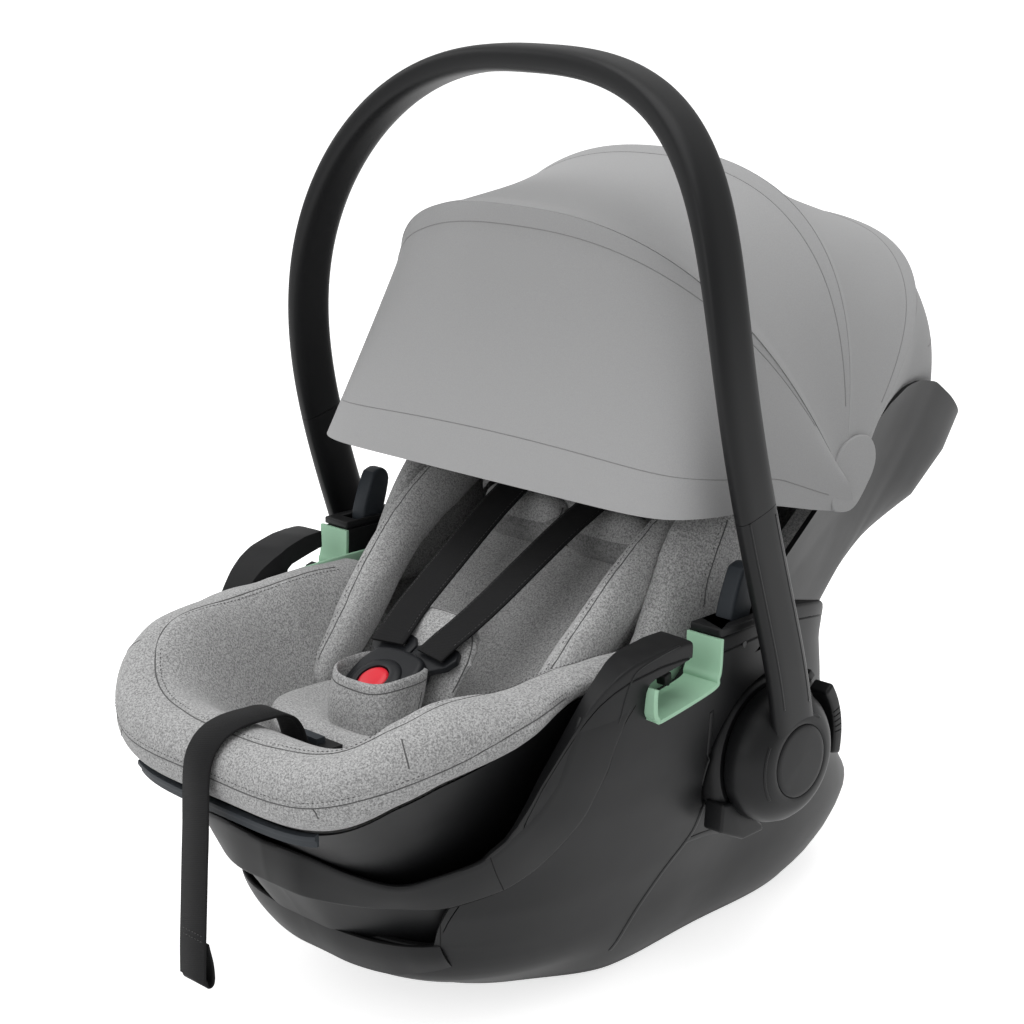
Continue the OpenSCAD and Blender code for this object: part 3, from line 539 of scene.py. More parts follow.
def stitches(name: str, skin: Skin, route: Table, beside: float = 0.0, step: float = 3.4, long: float = 2.3,
             radius: float = 0.42) -> Object:
    """A row of thread stitches: slim pointed lozenges along the snapped route.

    Args:
        name: Name of the piece.
        skin: Surface that the thread lies on.
        route: Points near the surface.
        beside: Distance from the route, across it.
        step: Distance from stitch to stitch.
        long: Length of a stitch.
        radius: Radius of the thread.

    Returns:
        The row as one object.
    """
    at, normal = skin.snap(route, 160)
    along = heading(at)
    at = at + unit(np.cross(normal, along)) * beside
    total = np.linalg.norm(np.diff(at, axis=0), axis=1).sum()
    count = max(3, int(total / step))
    at, normal = resample(at, count), unit(resample(normal, count))
    along = heading(at)
    side = np.cross(normal, along)
    lozenge = [(-long / 2, 0, 0), (long / 2, 0, 0), (0, radius, 0), (0, 0, radius), (0, -radius, 0), (0, 0, -radius)]
    corners = np.stack([at + along * a + side * b + normal * (c + radius * 0.3) for a, b, c in lozenge], axis=1)
    fan = np.array([(0, 3, 2), (0, 4, 3), (0, 5, 4), (0, 2, 5), (1, 2, 3), (1, 3, 4), (1, 4, 5), (1, 5, 2)])
    faces = (fan[None] + 6 * np.arange(count)[:, None, None]).reshape(-1, 3)
    return make_mesh(name, corners, faces)


def pull_in(piece: Object, route: Table, depth: float, width: float) -> Object:
    """Sinks a piece's surface along a route, as a seam does: depth times a bell curve of the distance."""
    points, facing = vertices(piece), normals(piece)
    line = spline(route, 400)
    near = np.full(len(points), np.inf)
    for part in np.array_split(line, 20):
        near = np.minimum(near, np.linalg.norm(points[:, None] - part[None], axis=2).min(axis=1))
    return set_vertices(piece, points - facing * (depth * bell(near / width))[:, None])


def ripple(piece: Object, size: float, height: float, seed: int) -> Object:
    """Adds slow uneven folds: a sum of sines in random directions along the surface's normals."""
    rng = np.random.default_rng(seed)
    points, facing = vertices(piece), normals(piece)
    wave = np.zeros(len(points))
    for k in range(7):
        way = unit(rng.normal(size=3)) * rng.uniform(0.6, 1.6) / size
        wave += np.sin(points @ way * math.tau + rng.uniform(0, math.tau)) / 7
    return set_vertices(piece, points + facing * (wave * height)[:, None])


@dataclass(frozen=True)
class Stuffing:
    """Cloth simulation of a stuffed pad: a remeshed skin blown up from inside."""

    pressure: float = 4.0
    voxel: float = 5.0
    frames: int = 14
    travel: float = 6.0

    def fill(self, piece: Object) -> Object:
        """Blows a piece up, holds each point's travel, and smooths the result."""
        apply_modifiers(modify(piece, "REMESH", mode="VOXEL", voxel_size=self.voxel * MM))
        self._simulate(piece)
        modify(piece, "SMOOTH", iterations=4, factor=0.5)
        modify(piece, "SUBSURF", levels=1, render_levels=1)
        return sharpen(apply_modifiers(piece), 180)

    def _simulate(self, piece: Object) -> None:
        """Runs the cloth over its frames and keeps the last shape."""
        start = vertices(piece)
        cloth = piece.modifiers.new("cloth", "CLOTH")
        cloth.settings.quality = 4
        cloth.settings.mass = 0.3
        cloth.settings.tension_stiffness = cloth.settings.compression_stiffness = 12
        cloth.settings.use_pressure = True
        cloth.settings.uniform_pressure_force = self.pressure
        cloth.settings.effector_weights.gravity = 0
        cloth.point_cache.frame_end = self.frames
        scene = bpy.context.scene
        for frame in range(1, self.frames + 1):
            scene.frame_set(frame)
        blown = piece.evaluated_get(bpy.context.evaluated_depsgraph_get()).data
        moved = vectors(blown.vertices, "co") / MM - HUB_PLACE - start
        piece.modifiers.clear()
        scene.frame_set(1)
        length = np.linalg.norm(moved, axis=1, keepdims=True)
        set_vertices(piece, start + moved * np.minimum(1, self.travel / np.maximum(length, 1e-6)))


# ---- finishes ----


class Slot(Enum):
    """The record's material slots."""

    SHELL = "shell_plastic"
    HANDLE = "handle_plastic"
    TAB = "tab_plastic"
    HOOK = "hook_plastic"
    STEEL = "steel"
    CANOPY = "canopy_fabric"
    COVER = "cover_fabric"
    LINING = "lining_fabric"
    PAD = "pad_fabric"
    WEBBING = "webbing"
    BUCKLE = "buckle_plastic"
    BUTTON = "button_plastic"


FLOAT = "NodeSocketFloat"
SOCKET_KINDS = {"Vector": "NodeSocketVector", "Color": "NodeSocketColor", "Dark": "NodeSocketColor",
                "Light": "NodeSocketColor"}


class Graph:
    """A short way to lay out the nodes of a material or a node group."""

    def __init__(self, tree: bpy.types.NodeTree) -> None:
        """Keeps the node tree that nodes are added to."""
        self.tree = tree

    def feed(self, node: bpy.types.Node, inputs: dict) -> bpy.types.Node:
        """Links a node's inputs to the sockets given for them, and sets the others to their values."""
        for key, value in inputs.items():
            if isinstance(value, bpy.types.NodeSocket):
                self.tree.links.new(value, node.inputs[key])
            else:
                node.inputs[key].default_value = value
        return node

    def add(self, kind: str, inputs: dict | None = None, **settings: object) -> bpy.types.Node:
        """Adds a node.

        Args:
            kind: The node's type name.
            inputs: Socket name or number to a value or to the socket that feeds it.
            settings: Properties of the node itself.

        Returns:
            The new node.
        """
        node = self.tree.nodes.new(kind)
        for key, value in settings.items():
            setattr(node, key, value)
        return self.feed(node, inputs or {})

    def group(self, recipe: Callable, inputs: dict) -> bpy.types.Node:
        """Places the node group of a recipe, which is built on its first use.

        Args:
            recipe: Lays out the group's nodes, and gives its outputs by name.
            inputs: The group's inputs by name.

        Returns:
            The group's node.
        """
        tree = bpy.data.node_groups.get(recipe.__name__)
        if tree is None:
            tree = bpy.data.node_groups.new(recipe.__name__, "ShaderNodeTree")
            for label in inputs:
                tree.interface.new_socket(label, in_out="INPUT", socket_type=SOCKET_KINDS.get(label, FLOAT))
            inner = Graph(tree)
            made = recipe(inner, inner.add("NodeGroupInput").outputs)
            for label in made:
                tree.interface.new_socket(label, in_out="OUTPUT", socket_type=SOCKET_KINDS.get(label, FLOAT))
            inner.add("NodeGroupOutput", made)
        return self.add("ShaderNodeGroup", inputs, node_tree=tree)

    def math(self, operation: str, a: object, b: object = 0.0, clamp: bool = False) -> bpy.types.NodeSocket:
        """The result of a Math node on two values or sockets."""
        return self.add("ShaderNodeMath", {0: a, 1: b}, operation=operation, use_clamp=clamp).outputs[0]

    def times(self, a: object, b: object) -> bpy.types.NodeSocket:
        """The product of two values or sockets."""
        return self.math("MULTIPLY", a, b)

    def blend(self, factor: object, a: object, b: object) -> bpy.types.NodeSocket:
        """A colour between a and b by a factor."""
        node = self.add("ShaderNodeMix", {0: factor, 6: a, 7: b}, data_type="RGBA")
        return node.outputs[2]

    def ramp(self, value: object, low: float, high: float) -> bpy.types.NodeSocket:
        """A value stretched so that low becomes 0 and high becomes 1."""
        node = self.add("ShaderNodeMapRange", {"Value": value, "From Min": low, "From Max": high})
        return node.outputs["Result"]

    def noise(self, vector: object, scale: object, detail: float = 2.0, rough: float = 0.5) -> bpy.types.NodeSocket:
        """The value of a noise texture."""
        node = self.add("ShaderNodeTexNoise", {"Vector": vector, "Scale": scale, "Detail": detail, "Roughness": rough})
        return node.outputs["Fac"]


def moulded_grain(g: Graph, given: Sockets) -> dict:
    """Fine leather-like grain of moulded plastic: a cell pattern over a noise, with a slow change of gloss."""
    cells = g.add("ShaderNodeTexVoronoi", {"Vector": given["Vector"], "Scale": given["Scale"]}, feature="SMOOTH_F1")
    fine = g.noise(given["Vector"], given["Scale"], 3.0, 0.6)
    height = g.math("ADD", g.times(cells.outputs["Distance"], 0.6), g.times(fine, 0.4))
    slow = g.noise(given["Vector"], 14.0, 3.0, 0.55)
    return {"Height": height, "Gloss Shift": g.math("SUBTRACT", slow, 0.5)}


def edge_wear(g: Graph, given: Sockets) -> dict:
    """Rubbed edges: the outward-bent places of the surface, broken up by a noise."""
    bend = g.add("ShaderNodeNewGeometry").outputs["Pointiness"]
    broken = g.ramp(g.noise(given["Vector"], 60.0, 4.0, 0.65), 0.35, 0.7)
    return {"Mask": g.times(g.times(g.ramp(bend, 0.53, 0.62), broken), given["Amount"])}


def settled_dust(g: Graph, given: Sockets) -> dict:
    """A trace of dust on what faces up: the normal's Z over a noise."""
    normal = g.add("ShaderNodeSeparateXYZ", {0: g.add("ShaderNodeNewGeometry").outputs["Normal"]})
    cloud = g.ramp(g.noise(given["Vector"], 22.0, 4.0, 0.6), 0.4, 0.8)
    return {"Mask": g.times(g.times(g.ramp(normal.outputs["Z"], 0.55, 1.0), cloud), given["Amount"])}


def melange(g: Graph, given: Sockets) -> dict:
    """Heathered yarn: speckles of a dark and a light fibre at two sizes, with a slow drift of tone."""
    at, size = given["Vector"], given["Scale"]
    speckle = g.ramp(g.noise(at, size, 2.0, 0.65), 0.36, 0.64)
    fine = g.ramp(g.noise(at, g.times(size, 2.3), 1.0, 0.5), 0.3, 0.7)
    slow = g.times(g.math("SUBTRACT", g.noise(at, 9.0, 3.0, 0.5), 0.5), 0.1)
    mixed = g.math("ADD", g.times(speckle, 0.62), g.times(fine, 0.38))
    share = g.math("ADD", mixed, slow, clamp=True)
    return {"Color": g.blend(share, given["Dark"], given["Light"]), "Height": mixed}


def plain_weave(g: Graph, given: Sockets) -> dict:
    """Crossing threads: the product of two sine bands in the surface's own directions."""
    axis = g.add("ShaderNodeSeparateXYZ", {0: given["Vector"]})
    phase = g.times(given["Threads"], math.tau)
    one, two = (g.math("SINE", g.times(axis.outputs[way], phase)) for way in "XY")
    return {"Height": g.math("ADD", g.times(g.times(one, two), 0.5), 0.5)}


def webbing_ribs(g: Graph, given: Sockets) -> dict:
    """Seat belt webbing: slanted ribs across and fine threads along, from the surface's own directions."""
    axis = g.add("ShaderNodeSeparateXYZ", {0: given["Vector"]})
    slant = g.math("ADD", axis.outputs["Y"], g.times(axis.outputs["X"], 0.35))
    rib = g.math("SINE", g.times(slant, given["Ribs"]))
    thread = g.math("SINE", g.times(axis.outputs["X"], g.times(given["Ribs"], 2.2)))
    return {"Height": g.math("ADD", g.math("ADD", g.times(rib, 0.3), g.times(thread, 0.2)), 0.5)}


def new_material(name: str) -> tuple[Material, Graph, bpy.types.Node]:
    """A material with its graph and its Principled BSDF."""
    material = bpy.data.materials.new(name)
    material.use_nodes = True
    graph = Graph(material.node_tree)
    shader = next(n for n in material.node_tree.nodes if n.type == "BSDF_PRINCIPLED")
    return material, graph, shader


def bump(g: Graph, shader: bpy.types.Node, height: bpy.types.NodeSocket, distance: float, strength: float) -> None:
    """Feeds a height through a Bump node to the shader's normal."""
    node = g.add("ShaderNodeBump", {"Height": height, "Distance": distance, "Strength": strength})
    g.feed(shader, {"Normal": node.outputs["Normal"]})


WHITE = (1.0, 1.0, 1.0, 1.0)


def rgba(colour: Sequence[float], gain: float = 1.0) -> tuple[float, float, float, float]:
    """A linear colour with full alpha."""
    return tuple(min(1.0, c * gain) for c in colour[:3]) + (1.0,)


@dataclass(frozen=True)
class Plastic:
    """Moulded plastic with grain, worn edges and a trace of dust."""

    name: str
    colour: tuple[float, float, float]
    roughness: float = 0.5
    grain_scale: float = 900.0
    grain_depth: float = 0.00006
    wear: float = 0.25
    dust: float = 0.02
    coat: float = 0.0
    shine: float = 0.22

    def make(self) -> Material:
        """Builds the material."""
        material, g, shader = new_material(self.name)
        at = g.add("ShaderNodeTexCoord").outputs["Object"]
        grain = g.group(moulded_grain, {"Vector": at, "Scale": self.grain_scale})
        worn = g.group(edge_wear, {"Vector": at, "Amount": self.wear})
        dust = g.group(settled_dust, {"Vector": at, "Amount": self.dust})
        rubbed = g.blend(worn.outputs["Mask"], rgba(self.colour), rgba([c * 1.6 + 0.02 for c in self.colour]))
        dusty = g.blend(dust.outputs["Mask"], rubbed, (0.35, 0.34, 0.32, 1.0))
        shift = g.times(grain.outputs["Gloss Shift"], 0.16)
        dull = g.times(dust.outputs["Mask"], 0.3)
        rough = g.math("ADD", g.math("ADD", shift, self.roughness), dull, clamp=True)
        g.feed(shader, {"Base Color": dusty, "Roughness": rough, "Specular IOR Level": self.shine,
                        "Coat Weight": self.coat, "Coat Roughness": 0.25})
        bump(g, shader, grain.outputs["Height"], self.grain_depth, 0.5)
        return material


@dataclass(frozen=True)
class Cloth:
    """Heathered or plain woven cloth, by its two yarn colours."""

    name: str
    dark: tuple[float, float, float]
    light: tuple[float, float, float]
    speckle: float = 780.0
    threads: float = 900.0
    bump_depth: float = 0.0005
    strength: float = 0.5
    sheen: float = 0.25
    by_surface: bool = False

    def make(self) -> Material:
        """Builds the material."""
        material, g, shader = new_material(self.name)
        place = g.add("ShaderNodeTexCoord")
        at = place.outputs["Object"]
        yarn = g.group(melange, {"Vector": at, "Scale": self.speckle, "Dark": rgba(self.dark),
                                 "Light": rgba(self.light)})
        weave_at = place.outputs["UV"] if self.by_surface else at
        weave = g.group(plain_weave, {"Vector": weave_at, "Threads": self.threads})
        g.feed(shader, {"Base Color": yarn.outputs["Color"], "Roughness": 0.92, "Specular IOR Level": 0.2,
                        "Sheen Weight": self.sheen, "Sheen Roughness": 0.5})
        height = g.math("ADD", g.times(yarn.outputs["Height"], 0.7), g.times(weave.outputs["Height"], 0.3))
        bump(g, shader, height, self.bump_depth, self.strength)
        return material


@dataclass(frozen=True)
class Webbing:
    """Ribbed woven strap."""

    name: str
    colour: tuple[float, float, float]
    ribs: float = 4200.0

    def make(self) -> Material:
        """Builds the material."""
        material, g, shader = new_material(self.name)
        at = g.add("ShaderNodeTexCoord").outputs["UV"]
        ribs = g.group(webbing_ribs, {"Vector": at, "Ribs": self.ribs})
        colour = g.blend(ribs.outputs["Height"], rgba(self.colour, 0.7), rgba(self.colour, 1.4))
        g.feed(shader, {"Base Color": colour, "Roughness": 0.7, "Sheen Weight": 0.03, "Specular IOR Level": 0.18,
                        "Sheen Roughness": 0.4})
        bump(g, shader, ribs.outputs["Height"], 0.0002, 0.6)
        return material


@dataclass(frozen=True)
class BrushedSteel:
    """Drawn steel bar with fine lines along its length."""

    name: str
    colour: tuple[float, float, float] = (0.56, 0.56, 0.57)

    def make(self) -> Material:
        """Builds the material."""
        material, g, shader = new_material(self.name)
        place = g.add("ShaderNodeTexCoord").outputs["Object"]
        stretched = g.add("ShaderNodeMapping", {"Vector": place, "Scale": (3.0, 60.0, 60.0)}).outputs[0]
        lines = g.noise(stretched, 30.0, 4.0, 0.6)
        colour = g.blend(lines, rgba(self.colour, 0.8), rgba(self.colour, 1.15))
        g.feed(shader, {"Base Color": colour, "Roughness": g.math("ADD", g.times(lines, 0.2), 0.22), "Metallic": 1.0})
        return material


FINISHES: dict[Slot, Plastic | Cloth | Webbing | BrushedSteel] = {
    Slot.SHELL: Plastic("black_shell", (0.0075, 0.0077, 0.0083), 0.47, 1100.0),
    Slot.HANDLE: Plastic("black_handle", (0.0068, 0.0070, 0.0076), 0.42, 1300.0, 0.00004),
    Slot.TAB: Plastic("slate_tabs", (0.026, 0.031, 0.037), 0.5),
    Slot.HOOK: Plastic("mint_hooks", (0.37, 0.60, 0.43), 0.42, 1500.0, 0.00003, 0.15),
    Slot.STEEL: BrushedSteel("drawn_steel"),
    Slot.CANOPY: Cloth("canopy_cloth", (0.315, 0.315, 0.317), (0.355, 0.355, 0.358), 1400.0, 1500.0, 0.0001, 0.3,
                       0.15, True),
    Slot.COVER: Cloth("heathered_cover", (0.13, 0.13, 0.13), (0.56, 0.56, 0.56)),
    # The lining's yarns are darker than the cover's partly as painted shade for the inside of the bowl.
    Slot.LINING: Cloth("heathered_lining_with_painted_shade", (0.11, 0.11, 0.11), (0.36, 0.36, 0.36), 720.0),
    Slot.PAD: Cloth("heathered_pads", (0.16, 0.16, 0.16), (0.60, 0.60, 0.60), 820.0),
    Slot.WEBBING: Webbing("black_webbing", (0.007, 0.007, 0.0075)),
    Slot.BUCKLE: Plastic("buckle_black", (0.012, 0.013, 0.015), 0.36, 1500.0, 0.00003, 0.2, 0.02),
    Slot.BUTTON: Plastic("signal_red", (0.72, 0.018, 0.035), 0.3, 1800.0, 0.00002, 0.1, 0.02, 0.3),
}
CANOPY_THREAD = Cloth("canopy_thread", (0.19, 0.19, 0.19), (0.25, 0.25, 0.25), 2500.0)
THREAD = Cloth("seam_thread", (0.05, 0.05, 0.05), (0.14, 0.14, 0.14), 2500.0)
# Near-black matte finish of the panel gaps, and painted shade at the foot of each lever's slot.
DARK_GAP_AND_SHADE = Plastic("dark_gap_and_painted_shade", (0.003, 0.003, 0.003), 0.8, 1200.0, 0.00004, 0.0, 0.0)


class Wardrobe:
    """Keeps each finish's material, so that it is built once."""

    def __init__(self) -> None:
        """Starts with nothing built."""
        self.made: dict[str, Material] = {}

    def material(self, finish: Slot | Plastic | Cloth | Webbing | BrushedSteel) -> Material:
        """The material of a slot or of a finish of its own."""
        recipe = FINISHES[finish] if isinstance(finish, Slot) else finish
        if recipe.name not in self.made:
            self.made[recipe.name] = recipe.make()
        return self.made[recipe.name]

    def dress(self, piece: Object, slot: Slot, *nodes: str, body: str | tuple[str, str] = "seat",
              finish: Plastic | Cloth | None = None, span: Sequence[Array] = (), fill: float = 0.0) -> Object:
        """Gives a finished piece its material and its body.

        Args:
            piece: The mesh.
            slot: The record's slot it takes its finish from.
            nodes: CAD nodes that it replaces.
            body: The body it rides on, or a pair of bodies, in which case its transform is baked and it rides on none.
            finish: A finish of its own, where it isn't the slot's.
            span: Points at the ends of its span, in hub millimetres; not used.
            fill: How full a padded piece is, 0 for a piece with no padding; not used.

        Returns:
            The piece.
        """
        piece.data.materials.clear()
        piece.data.materials.append(self.material(finish or slot))
        if isinstance(body, tuple):
            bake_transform(piece)
        else:
            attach(piece, body)
        if nodes:
            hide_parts(*nodes)
        log.info("%s: %d faces, rides on %s", piece.name, len(piece.data.polygons), body)
        return piece

    def dress_node(self, frame: dict, node: str, slot: Slot) -> None:
        """Gives a CAD node its material."""
        node_object = frame["nodes"][node]
        if node_object.data.materials:
            node_object.material_slots[0].material = self.material(slot)
        else:
            node_object.data.materials.append(self.material(slot))


@dataclass
class Assembly:
    """A sub-assembly, which dresses its pieces from the shared wardrobe."""

    wardrobe: Wardrobe

    def dress(self, piece: Object, slot: Slot, *nodes: str, **details: object) -> Object:
        """Dresses a piece, with the details that Wardrobe.dress takes."""
        return self.wardrobe.dress(piece, slot, *nodes, **details)


# ---- camera, light and floor ----


@dataclass
class Studio:
    """Camera, soft light and a pale floor."""

    camera_place: tuple[float, float, float] = (1.0608, -1.1448, 0.7328)
    azimuth: float = 44.398
    elevation: float = 15.555
    lens: float = 78.68
    floor_half: float = 60.0
    sky: float = 0.62
    lamps: tuple = (
        ("overhead", (0.1, -0.2, 2.6), (0.0, 0.0, 0.2), 2.4, 34.0),
        ("front", (0.2, -2.9, 1.5), (0.0, 0.0, 0.3), 1.8, 16.0),
        ("left", (-2.4, -0.9, 1.7), (0.0, 0.0, 0.3), 1.6, 12.0),
    )

    def build(self) -> None:
        """Makes the camera, the lamps, the world and the floor."""
        scene = bpy.context.scene
        scene.view_settings.view_transform = "Standard"
        self._camera(scene)
        self._lamps()
        self._world(scene)
        self._floor()

    def _camera(self, scene: bpy.types.Scene) -> None:
        """Places the camera by its height above the level and its turn."""
        data = bpy.data.cameras.new("camera")
        data.lens, data.sensor_width, data.clip_end = self.lens, 36.0, 200.0
        camera = new_object("camera", data)
        camera.location = self.camera_place
        camera.rotation_euler = (math.radians(90 - self.elevation), 0.0, math.radians(self.azimuth))
        scene.camera = camera

    def _lamps(self) -> None:
        """Places the soft lamps, each turned to its aim."""
        for name, place, aim, size, power_watts in self.lamps:
            data = bpy.data.lights.new(name, "AREA")
            data.size, data.energy = size, power_watts
            lamp = new_object(name, data)
            lamp.location = place
            lamp.rotation_euler = (Vector(aim) - Vector(place)).to_track_quat("-Z", "Y").to_euler()

    def _world(self, scene: bpy.types.Scene) -> None:
        """A plain sky, white where the camera sees it."""
        world = bpy.data.worlds.new("sky")
        world.use_nodes = True
        g = Graph(world.node_tree)
        back = next(n for n in world.node_tree.nodes if n.type == "BACKGROUND")
        seen = g.add("ShaderNodeLightPath").outputs["Is Camera Ray"]
        strength = g.math("ADD", g.times(seen, 1.0 - self.sky), self.sky)
        g.feed(back, {"Strength": strength, "Color": WHITE})
        scene.world = world

    def _floor(self) -> None:
        """A wide pale floor that looks white to the camera and keeps the shadow."""
        h = self.floor_half
        mesh = bpy.data.meshes.new("floor")
        mesh.from_pydata([(-h, -h, 0), (h, -h, 0), (h, h, 0), (-h, h, 0)], [], [(0, 1, 2, 3)])
        floor = new_object("floor", mesh)
        material, g, shader = new_material("pale_floor")
        rays = g.add("ShaderNodeLightPath").outputs
        direct = g.math("MAXIMUM", rays["Is Camera Ray"], rays["Is Glossy Ray"])
        seen = g.math("MAXIMUM", direct, rays["Is Transmission Ray"])
        g.feed(shader, {"Base Color": rgba((0.8, 0.8, 0.8)), "Roughness": 1.0, "Specular IOR Level": 0.0,
                        "Emission Color": WHITE, "Emission Strength": g.times(seen, 0.72)})
        mesh.materials.append(material)


# ---- base ----

BASE_HALF = ((-162, 11), (-157, 16), (-146, 24), (-130, 33), (-114, 40), (-95, 47), (-68, 58), (-35, 69),
             (-5, 78), (6, 80), (30, 86), (61, 92), (89, 97), (118, 98))
BASE_REACH_FRONT = ((-162, 162), (-157, 174), (-146, 196), (-130, 213), (-114, 219), (-95, 222), (-68, 234),
                    (-35, 243), (-5, 268), (6, 280), (30, 276), (61, 255), (89, 236), (118, 225))
BASE_REACH_REAR = ((-162, 224), (-157, 232), (-146, 242), (-130, 252), (-114, 258), (-100, 260), (-90, 256),
                   (-60, 224), (-17, 184), (20, 164), (60, 148), (118, 146))
BASE_SQUARE = ((-162, 2.5), (-146, 2.7), (-130, 3), (-95, 3.4))
BASE_RIM = ((-90, 0), (-60, 0), (-58, 16), (-54, 36), (-50, 53), (-45, 70), (-41, 80), (-36, 90), (-32, 101),
            (-30, 116), (-28.5, 136), (-27, 157), (-25.5, 172), (-23.5, 183), (-21, 190), (-18, 195), (-12, 199.5),
            (-7.3, 200), (-4.5, 195), (9, 195), (20, 190), (32, 184), (40, 176), (50, 154), (58, 112), (70, 84),
            (90, 76))
SLOT_OUTLINE = ((-67, 140), (-67, 101), (-68, 80), (-70, 73), (-76, 66), (-125, 58), (-131, 59.5), (-134, 64.5),
                (-134.5, 78.5), (-132, 84), (-127, 86.7), (-95, 93), (-95, 140))


def full_turn(half: Array) -> Array:
    """The right-hand half of a ring of points joined to its mirror image."""
    return np.concatenate([half, sided(half[..., ::-1, :], -1)[..., 1:-1, :]], axis=-2)


@dataclass
class BaseShell(Assembly):
    """Moulded base: a hollow shell that rises into the belt arms and the towers."""

    foot_half_width: float = 98.0
    wall: float = 5.0
    arm_wall: float = 27.0
    lip_z: float = -95.0
    shelf_z: float = -100.0
    middle_y: float = -30.0
    edge_round: float = 2.5
    groove_at: float = 11.0
    groove_deep: float = 0.8
    levels: tuple = (-162, -160, -157, -152, -146, -138, -130, -122, -114, -107, -100)
    rear_square: float = 3.5
    band: Table = (
        (0, -296, -30, 0, -291, -61), (40, -293, -30, 36, -289, -61), (75, -284, -36, 70, -275, -61),
        (100, -268, -41, 92, -259, -61), (119, -252, -34, 112, -242, -60),
        (138.5, -236.6, -23.4, 127.5, -228.6, -54), (146.3, -231, -16.5, 140.4, -213.5, -47),
        (153, -226, -9, 147, -204, -41), (158.8, -221.5, -1.5, 155, -193, -31), (163.7, -215, 6, 163, -183, -18),
        (167.5, -208, 14.6, 170.5, -172.5, -2.5), (171.4, -201.4, 25.8, 175, -165.5, 12.6),
        (174.5, -195.7, 38.3, 179.5, -159.5, 29), (176.8, -191, 52.3, 183, -155, 47),
        (178, -186, 66, 185.5, -150, 60.5), (176, -181, 71, 187, -146, 70),
    )
    tray: Table = (
        (0, -262, -95, 0, -245, -127), (30, -261, -95, 30, -244.5, -127), (60, -256, -95, 60, -239, -125.5),
        (80, -248.5, -94.5, 80, -233, -120), (92, -240.5, -94, 92, -227.5, -116),
        (101, -232.5, -93, 101, -221.5, -112),
    )
    gap_routes: tuple = (
        ((188, -142, 72), (185.5, -150, 60), (183, -155, 47), (179.5, -159, 29), (175, -165.5, 12.5),
         (170.5, -172.5, -2.5), (162, -184, -20), (153, -195.5, -33.5), (140, -213.5, -47), (127.5, -229, -54.5),
         (112.5, -241.5, -60.5)),
        ((112, -241.5, -61), (107, -237, -76), (101, -231.5, -93)),
        ((146.5, -231, -17), (142.5, -222, -31.5), (140.5, -213.5, -46)),
    )
    ridge_routes: tuple = (
        (((193.5, -107, 104), (193, -121, 102), (190.5, -142, 96), (189, -149, 87.5), (187, -152.5, 74),
          (185.5, -154.5, 64.5), (181, -163.5, 44.5), (176, -176, 24.5), (168.5, -191, 3), (157, -206, -16),
          (144, -219.5, -31)), 1.6, 0.45),
        (((186, -64, 46), (180, -58, 19), (174, -53, -2), (166, -47, -24), (161, -47, -47), (158, -54, -59),
          (154, -65, -71), (148.5, -74, -85), (138, -87, -112), (124, -92, -138)), 5.0, 0.5),
        (((158, -54, -58), (158, -38, -60), (156, -22, -63), (153, -4, -68), (148, 20, -76)), 5.0, 0.5),
    )

    def rim_z(self, u: Array) -> Array:
        """Height of the rim: the lip's height plus the rounded rim table."""
        return self.lip_z + soft_lookup(u, BASE_RIM, 0.9)

    def surface(self, u: Array, z: Array, inwards: Array | float) -> Array:
        """A point on the wall: a superellipse round the middle, with half width and reach by height.

        Args:
            u: Angle round the base in degrees, -90 at the foot end and 90 at the head end.
            z: Height.
            inwards: Distance in from the outside.

        Returns:
            The points.
        """
        s, c = dsin(u), dcos(u)
        front = s < 0
        n = np.where(front, lookup(z, BASE_SQUARE), self.rear_square)
        reach = np.where(front, soft_lookup(z, BASE_REACH_FRONT, 5.0), soft_lookup(z, BASE_REACH_REAR, 5.0)) - inwards
        y = self.middle_y + reach * power(s, 2 / n)
        width = (self.foot_half_width + soft_lookup(z, BASE_HALF, 5.0)) * (1 - 0.04 * bell((y - 25) / 60))
        lift = 8 * blend_step((-70 - y) / 80) * blend_step((self.lip_z - 20 - z) / 40)
        return stack((width - inwards) * power(c, 2 / n), y, z + lift)

    def wall_at(self, u: Array, z: Array) -> Array:
        """Thickness of the wall: full arm width near the rim of the arms."""
        share = blend_step((u + 34) / 16) * blend_step((34 - u) / 24)
        return self.wall + (self.arm_wall - self.wall) * share * blend_step((z - self.rim_z(u) + 92) / 22)

    def body(self) -> Object:
        """The shell: outer rows up to the rim, then inner rows down to the floor."""
        u = np.unique(np.r_[np.linspace(-90, -60, 24), np.linspace(-60, -18, 84), np.linspace(-18, 40, 70),
                            np.linspace(40, 90, 60)])
        rim = self.rim_z(u)
        height = rim - self.shelf_z
        near = np.array([0, 0.4, 1.0, 1.8, 3.0, 5.0, 8.0, 10.0, 10.6, 11.0, 11.4, 12.0, 14.0])
        far = np.linspace(0, 1, 26)[1:-1]
        squeeze = np.minimum(1, height / 30)
        drop = np.concatenate([near[:, None] * squeeze, 14 * squeeze + far[:, None] * (height - 14 * squeeze)])
        r = self.edge_round + 5.5 * blend_step((u - 24) / 20)
        rounding = np.where(drop < r, r - np.sqrt(np.maximum(0, r**2 - (r - drop) ** 2)), 0)
        groove = self.groove_deep * bell((drop - self.groove_at) / 0.5) * (squeeze > 0.99)
        outer = self.surface(u, rim - drop, 0.0)
        inward = unit(outer * [1, 1, 0] - np.array([0, self.middle_y, 0]))
        outer = outer - inward * (rounding + groove)[..., None]
        levels = np.asarray(self.levels, float)[:, None]
        low = self.surface(u[None], levels, 0.0)
        inner = self.surface(u, rim - drop[::2], self.wall_at(u, rim - drop[::2]))
        inner_low = self.surface(u[None], levels[2:], self.wall_at(u[None], levels[2:]))
        rows = np.concatenate([low, outer[::-1], inner, inner_low[::-1]])
        return loft("base_shell_moulding", full_turn(rows))

